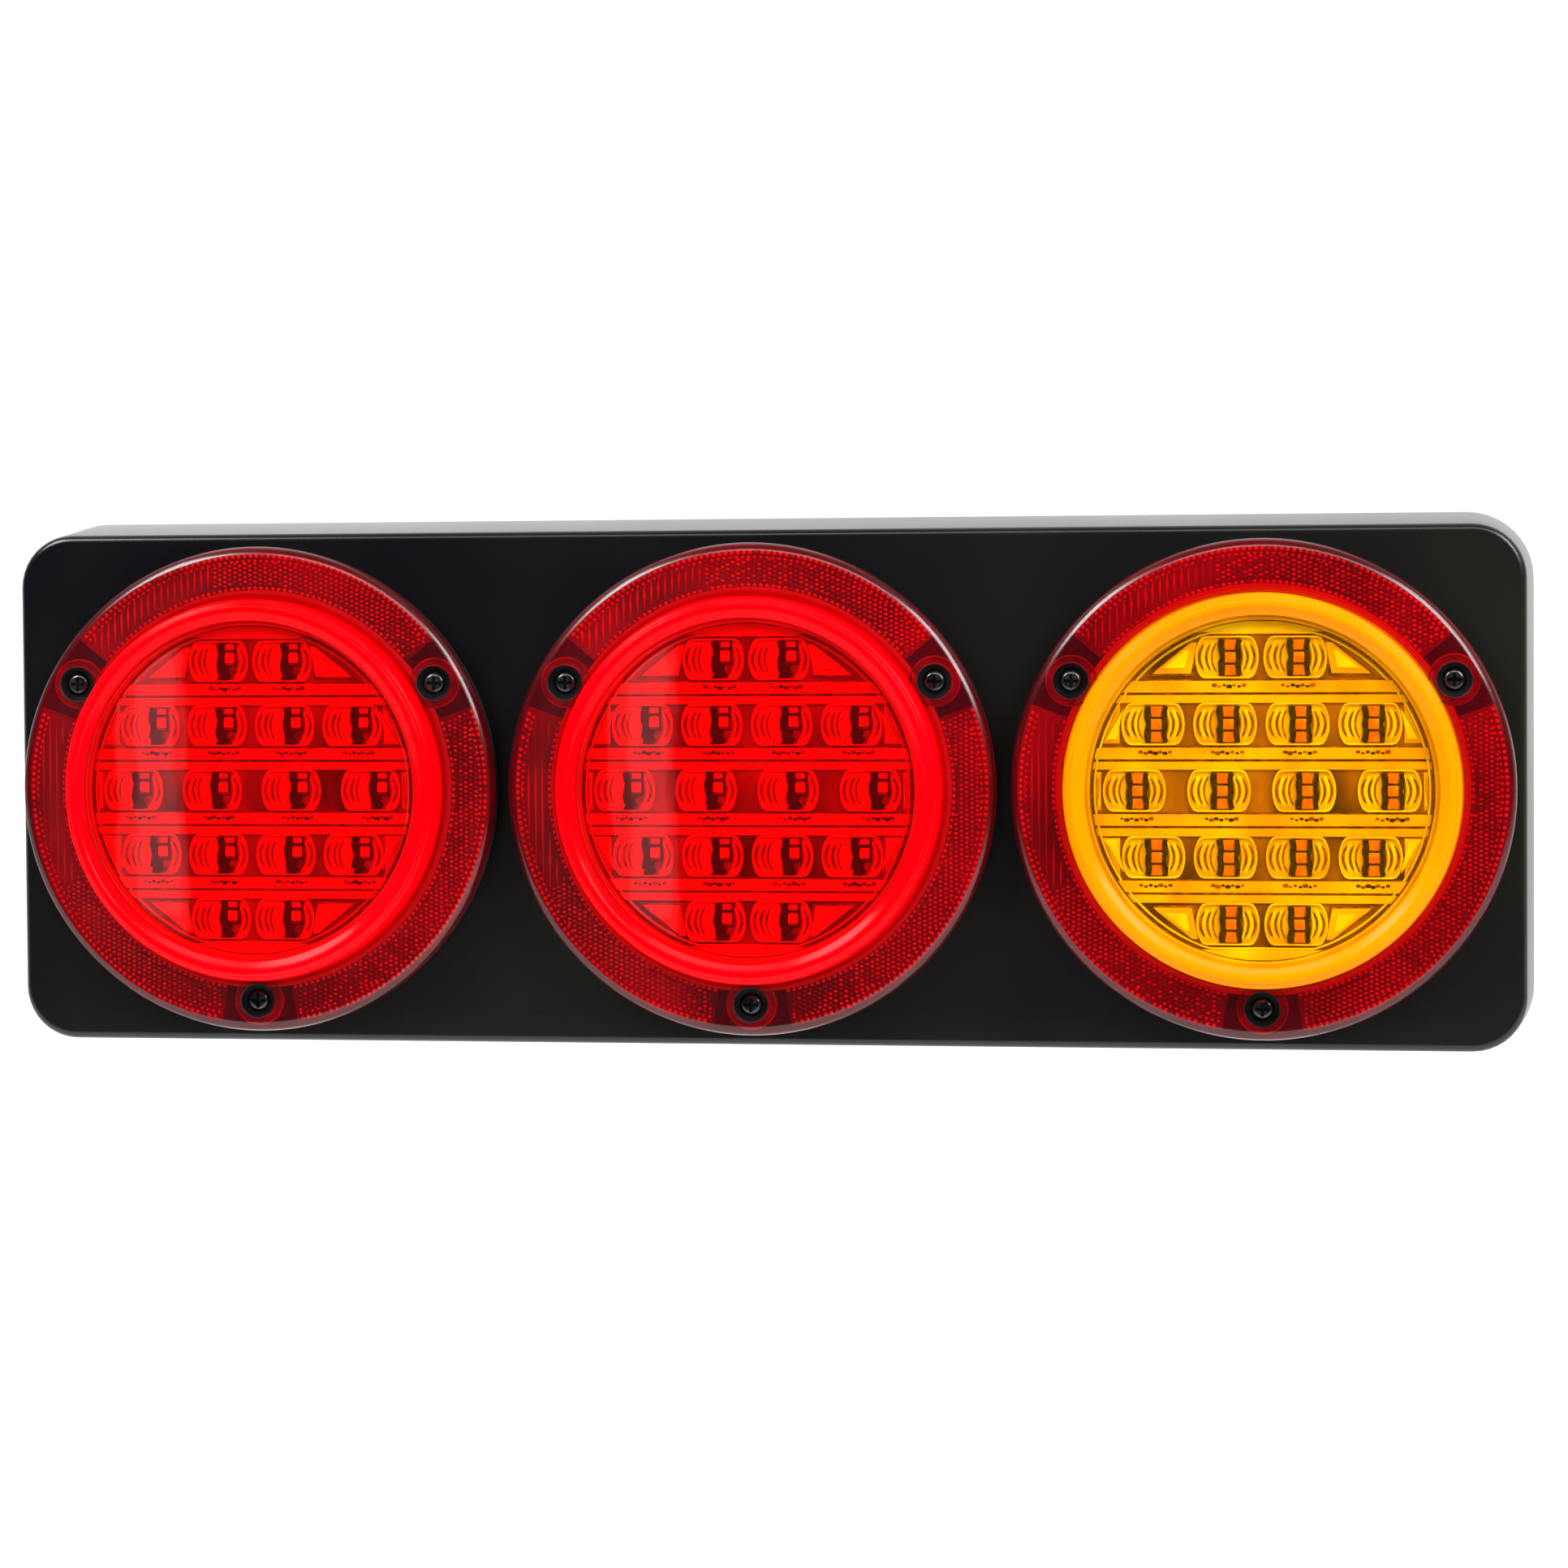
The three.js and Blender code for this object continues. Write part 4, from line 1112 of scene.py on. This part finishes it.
def make_body(unit, x):
    back = SOCKET_BACK + SOCKET_DEEP
    rear = proud(back)
    root = rear - 0.5
    shape = Mesher().turn(standing([
        (0, back), (BODY_R - 2.4, back, 0.8), (BODY_R, back + 2.4, 1.2),
        (BODY_R, BODY_FRONT - 1.9, 0.4), (FLANGE_R, BODY_FRONT - 1.9, 0.3),
        (FLANGE_R, BODY_FRONT, 0.3), (BODY_MOUTH_R, BODY_FRONT), (BODY_MOUTH_R, 2.5),
        (BODY_INNER_R, 2.5), (BODY_INNER_R, back + BODY_WALL), (0, back + BODY_WALL)]), 160)
    body = shape.build(f"{unit}_body", [BODY_PLASTIC])
    collar = Mesher()
    outline = rounded_rectangle(34, 17, 4)
    collar.loft([(outline, root), (outline, rear + SOCKET_DEEP - 0.4),
                 (rounded_rectangle(33.2, 16.2, 3.6), rear + SOCKET_DEEP)])
    combine(body, collar, BODY_PLASTIC, "UNION")
    relief = Mesher()
    for radius in VENT_RINGS:
        relief.turn([(radius - 0.9, root), (radius + 0.9, root), (radius + 0.7, rear + 0.8, 0.3),
                     (radius - 0.7, rear + 0.8, 0.3)], 120)
    for n in range(VENT_RIBS):
        angle = 2 * math.pi * (n + 0.5) / VENT_RIBS
        turned = Matrix.Rotation(angle, 2)
        relief.prism([tuple(turned @ Vector(p)) for p in VENT_CORNERS], root, rear + 0.6)
    relief.turn([(0, root), (4.6, root), (4.3, rear + 1.8, 0.5), (1.2, rear + 2.2, 0.3),
                 (1.0, rear + 1.4, 0.2), (0, rear + 1.4)], 40, at=(0, CAP_Z))
    combine(body, relief, BODY_PLASTIC, "UNION")
    socket = Mesher()
    outline = rounded_rectangle(30.4, 13.4, 2.2)
    socket.loft([(outline, rear), (outline, rear + SOCKET_DEEP + 1)])
    combine(body, socket, BODY_PLASTIC)
    slots = Mesher()
    count = TERMINALS[unit]
    for i in range(count):
        middle = (i - (count - 1) / 2) * SLOT_PITCH
        slots.prism(moved(rounded_rectangle(1.4, 6.9, 0.2, 2), middle, 0), rear - 4, rear + 1)
    combine(body, slots, BODY_PLASTIC)
    dress(body, f"{unit}_lamp_unit", f"{unit}_lamp_body", x, SHARP)
    for i in range(count):
        make_terminal(unit, i + 1)


def make_terminal(unit, number):
    node = f"{unit}_terminal_{number}"
    low, high, middle = cad_and_middle(node)
    thick, wide = high.x - low.x, high.z - low.z
    blade = Mesher()
    full = rounded_rectangle(thick, wide, 0.2, 2)
    tip = rounded_rectangle(thick * 0.5, wide - 1.6, 0.15, 2)
    blade.loft([(full, low.y), (full, high.y - 1.2), (tip, high.y)])
    piece = blade.build(f"{unit}_blade_{number}", [TINNED_BRASS], at=(middle.x, middle.z))
    dress(piece, f"{unit}_lamp_unit", node)


# ---- stage
FLOOR_DROP, FLOOR_SIZE, FLOOR_NEAR = 0.35, 9.0, -0.75
FLOOR_GLOW = 0.45


def make_stage():
    corners = block(-FLOOR_SIZE, FLOOR_SIZE, FLOOR_NEAR, FLOOR_SIZE)
    level = BOX_LOW.z * MM - FLOOR_DROP
    mesh = bpy.data.meshes.new("floor")
    mesh.from_pydata([(x, y, level) for x, y in corners], [], [(0, 1, 2, 3)])
    floor = bpy.data.objects.new("floor", mesh)
    bpy.context.scene.collection.objects.link(floor)
    white = solid_material("floor_white", (0.9, 0.9, 0.9), (0.94, 0.94, 0.94), (0.6, 0.7), grain=2.0)
    shader = next(n for n in white.node_tree.nodes if n.type == "BSDF_PRINCIPLED")
    shader.inputs["Emission Color"].default_value = (1, 1, 1, 1)
    shader.inputs["Emission Strength"].default_value = FLOOR_GLOW
    mesh.materials.append(white)


def area_light(name, place, target, size, power):
    light = bpy.data.lights.new(name, "AREA")
    light.shape = "RECTANGLE"
    light.size, light.size_y = size
    light.energy = power
    lamp = bpy.data.objects.new(name, light)
    lamp.location = place
    lamp.rotation_euler = (Vector(target) - Vector(place)).to_track_quat("-Z", "Y").to_euler()
    bpy.context.scene.collection.objects.link(lamp)


DIM_FROM, BRIGHT_FROM = -0.4, 0.65
DIM_ROOM, BRIGHT_ROOM = 0.07, 1.7


def make_world():
    """A bright room all round, with a dim patch straight in front of the lamps. The camera itself
    sees plain white."""
    world = bpy.data.worlds.new("room")
    bpy.context.scene.world = world
    tree = new_tree(world)
    place = add_node(tree, "TexCoord")
    split = add_node(tree, "SeparateXYZ", {"Vector": place.outputs["Generated"]})
    front = add_node(tree, "MapRange", {
        "Value": split.outputs["Y"], "From Min": DIM_FROM, "From Max": BRIGHT_FROM,
        "To Min": DIM_ROOM, "To Max": BRIGHT_ROOM}, interpolation_type="SMOOTHSTEP")
    room = add_node(tree, "Background", {"Strength": front.outputs["Result"]})
    white = add_node(tree, "Background", {"Color": (1, 1, 1, 1), "Strength": 1.05})
    path = add_node(tree, "LightPath")
    mix = add_node(tree, "MixShader", {
        "Fac": path.outputs["Is Camera Ray"], 1: room.outputs["Background"],
        2: white.outputs["Background"]})
    add_node(tree, "OutputWorld", {"Surface": mix.outputs["Shader"]})


CAMERA_YAW, CAMERA_PITCH, CAMERA_ROLL = (math.radians(a) for a in (7.50, 1.66, -0.395))
CAMERA_PLACE = Vector((157.4, PLATE_Y - 991.7, 56.9)) * MM
CAMERA_LENS, CAMERA_SHIFT = 80.84, (-0.04, -0.06)


def make_camera():
    camera = bpy.data.cameras.new("camera")
    camera.sensor_width = 36
    camera.lens = CAMERA_LENS
    camera.shift_x, camera.shift_y = CAMERA_SHIFT
    holder = bpy.data.objects.new("camera", camera)
    turn = (Matrix.Rotation(CAMERA_YAW, 3, "Z") @ Matrix.Rotation(math.pi / 2 - CAMERA_PITCH, 3, "X")
            @ Matrix.Rotation(CAMERA_ROLL, 3, "Z"))
    holder.matrix_world = Matrix.Translation(CAMERA_PLACE) @ turn.to_4x4()
    bpy.context.scene.collection.objects.link(holder)
    bpy.context.scene.camera = holder


# ---- the whole
# the three lights over the lamps: name, place, size and power
LIGHTS = (("key", (-1.1, -0.9, 1.2), (0.7, 0.7), 36), ("fill", (1.2, -0.85, 0.95), (0.6, 0.9), 32),
          ("overhead", (0.15, -1.3, 1.5), (1.6, 0.35), 15))
# soft upright reflections in the two red windows: name, place and power
GLINTS = (("left", -0.596, 0.016), ("middle", -0.268, 0.014))

make_camera()
make_world()
make_stage()
for name, place, size, power in LIGHTS:
    area_light(name, place, (0, 0, 0), size, power)
for name, x, power in GLINTS:
    aim = (x + 0.4, 0, 0)
    area_light(f"{name}_glint", (x, -1.3, -0.07), aim, (0.044, 0.26), power)
    area_light(f"{name}_glint_core", (x + 0.004, -1.3, -0.06), aim, (0.026, 0.19), power * 0.6)
bpy.context.scene.view_settings.view_transform = "Standard"

make_box()
for side in ("left", "right"):
    make_strap(side)
    make_stud(side)
    make_nut(side)
    for end in ("upper", "lower"):
        make_screw(f"strap_fixing_{side}_{end}", f"strap_screw_{side}_{end}", "housing",
                   ZINC, sign=-1)
for unit, tint in UNITS.items():
    axis_x = centre_of(f"{unit}_reflector_ring").x
    make_lens(unit, axis_x, tint)
    make_optic(unit, axis_x, tint)
    make_board(unit, axis_x)
    make_seals(unit, axis_x)
    make_body(unit, axis_x)
    make_ring_base(unit, axis_x)
    make_ring(unit, axis_x)
    for number in (1, 2, 3):
        make_screw(f"{unit}_fixing_{number}", f"{unit}_ring_screw_{number}", f"{unit}_lamp_unit",
                   BLACK_STEEL)
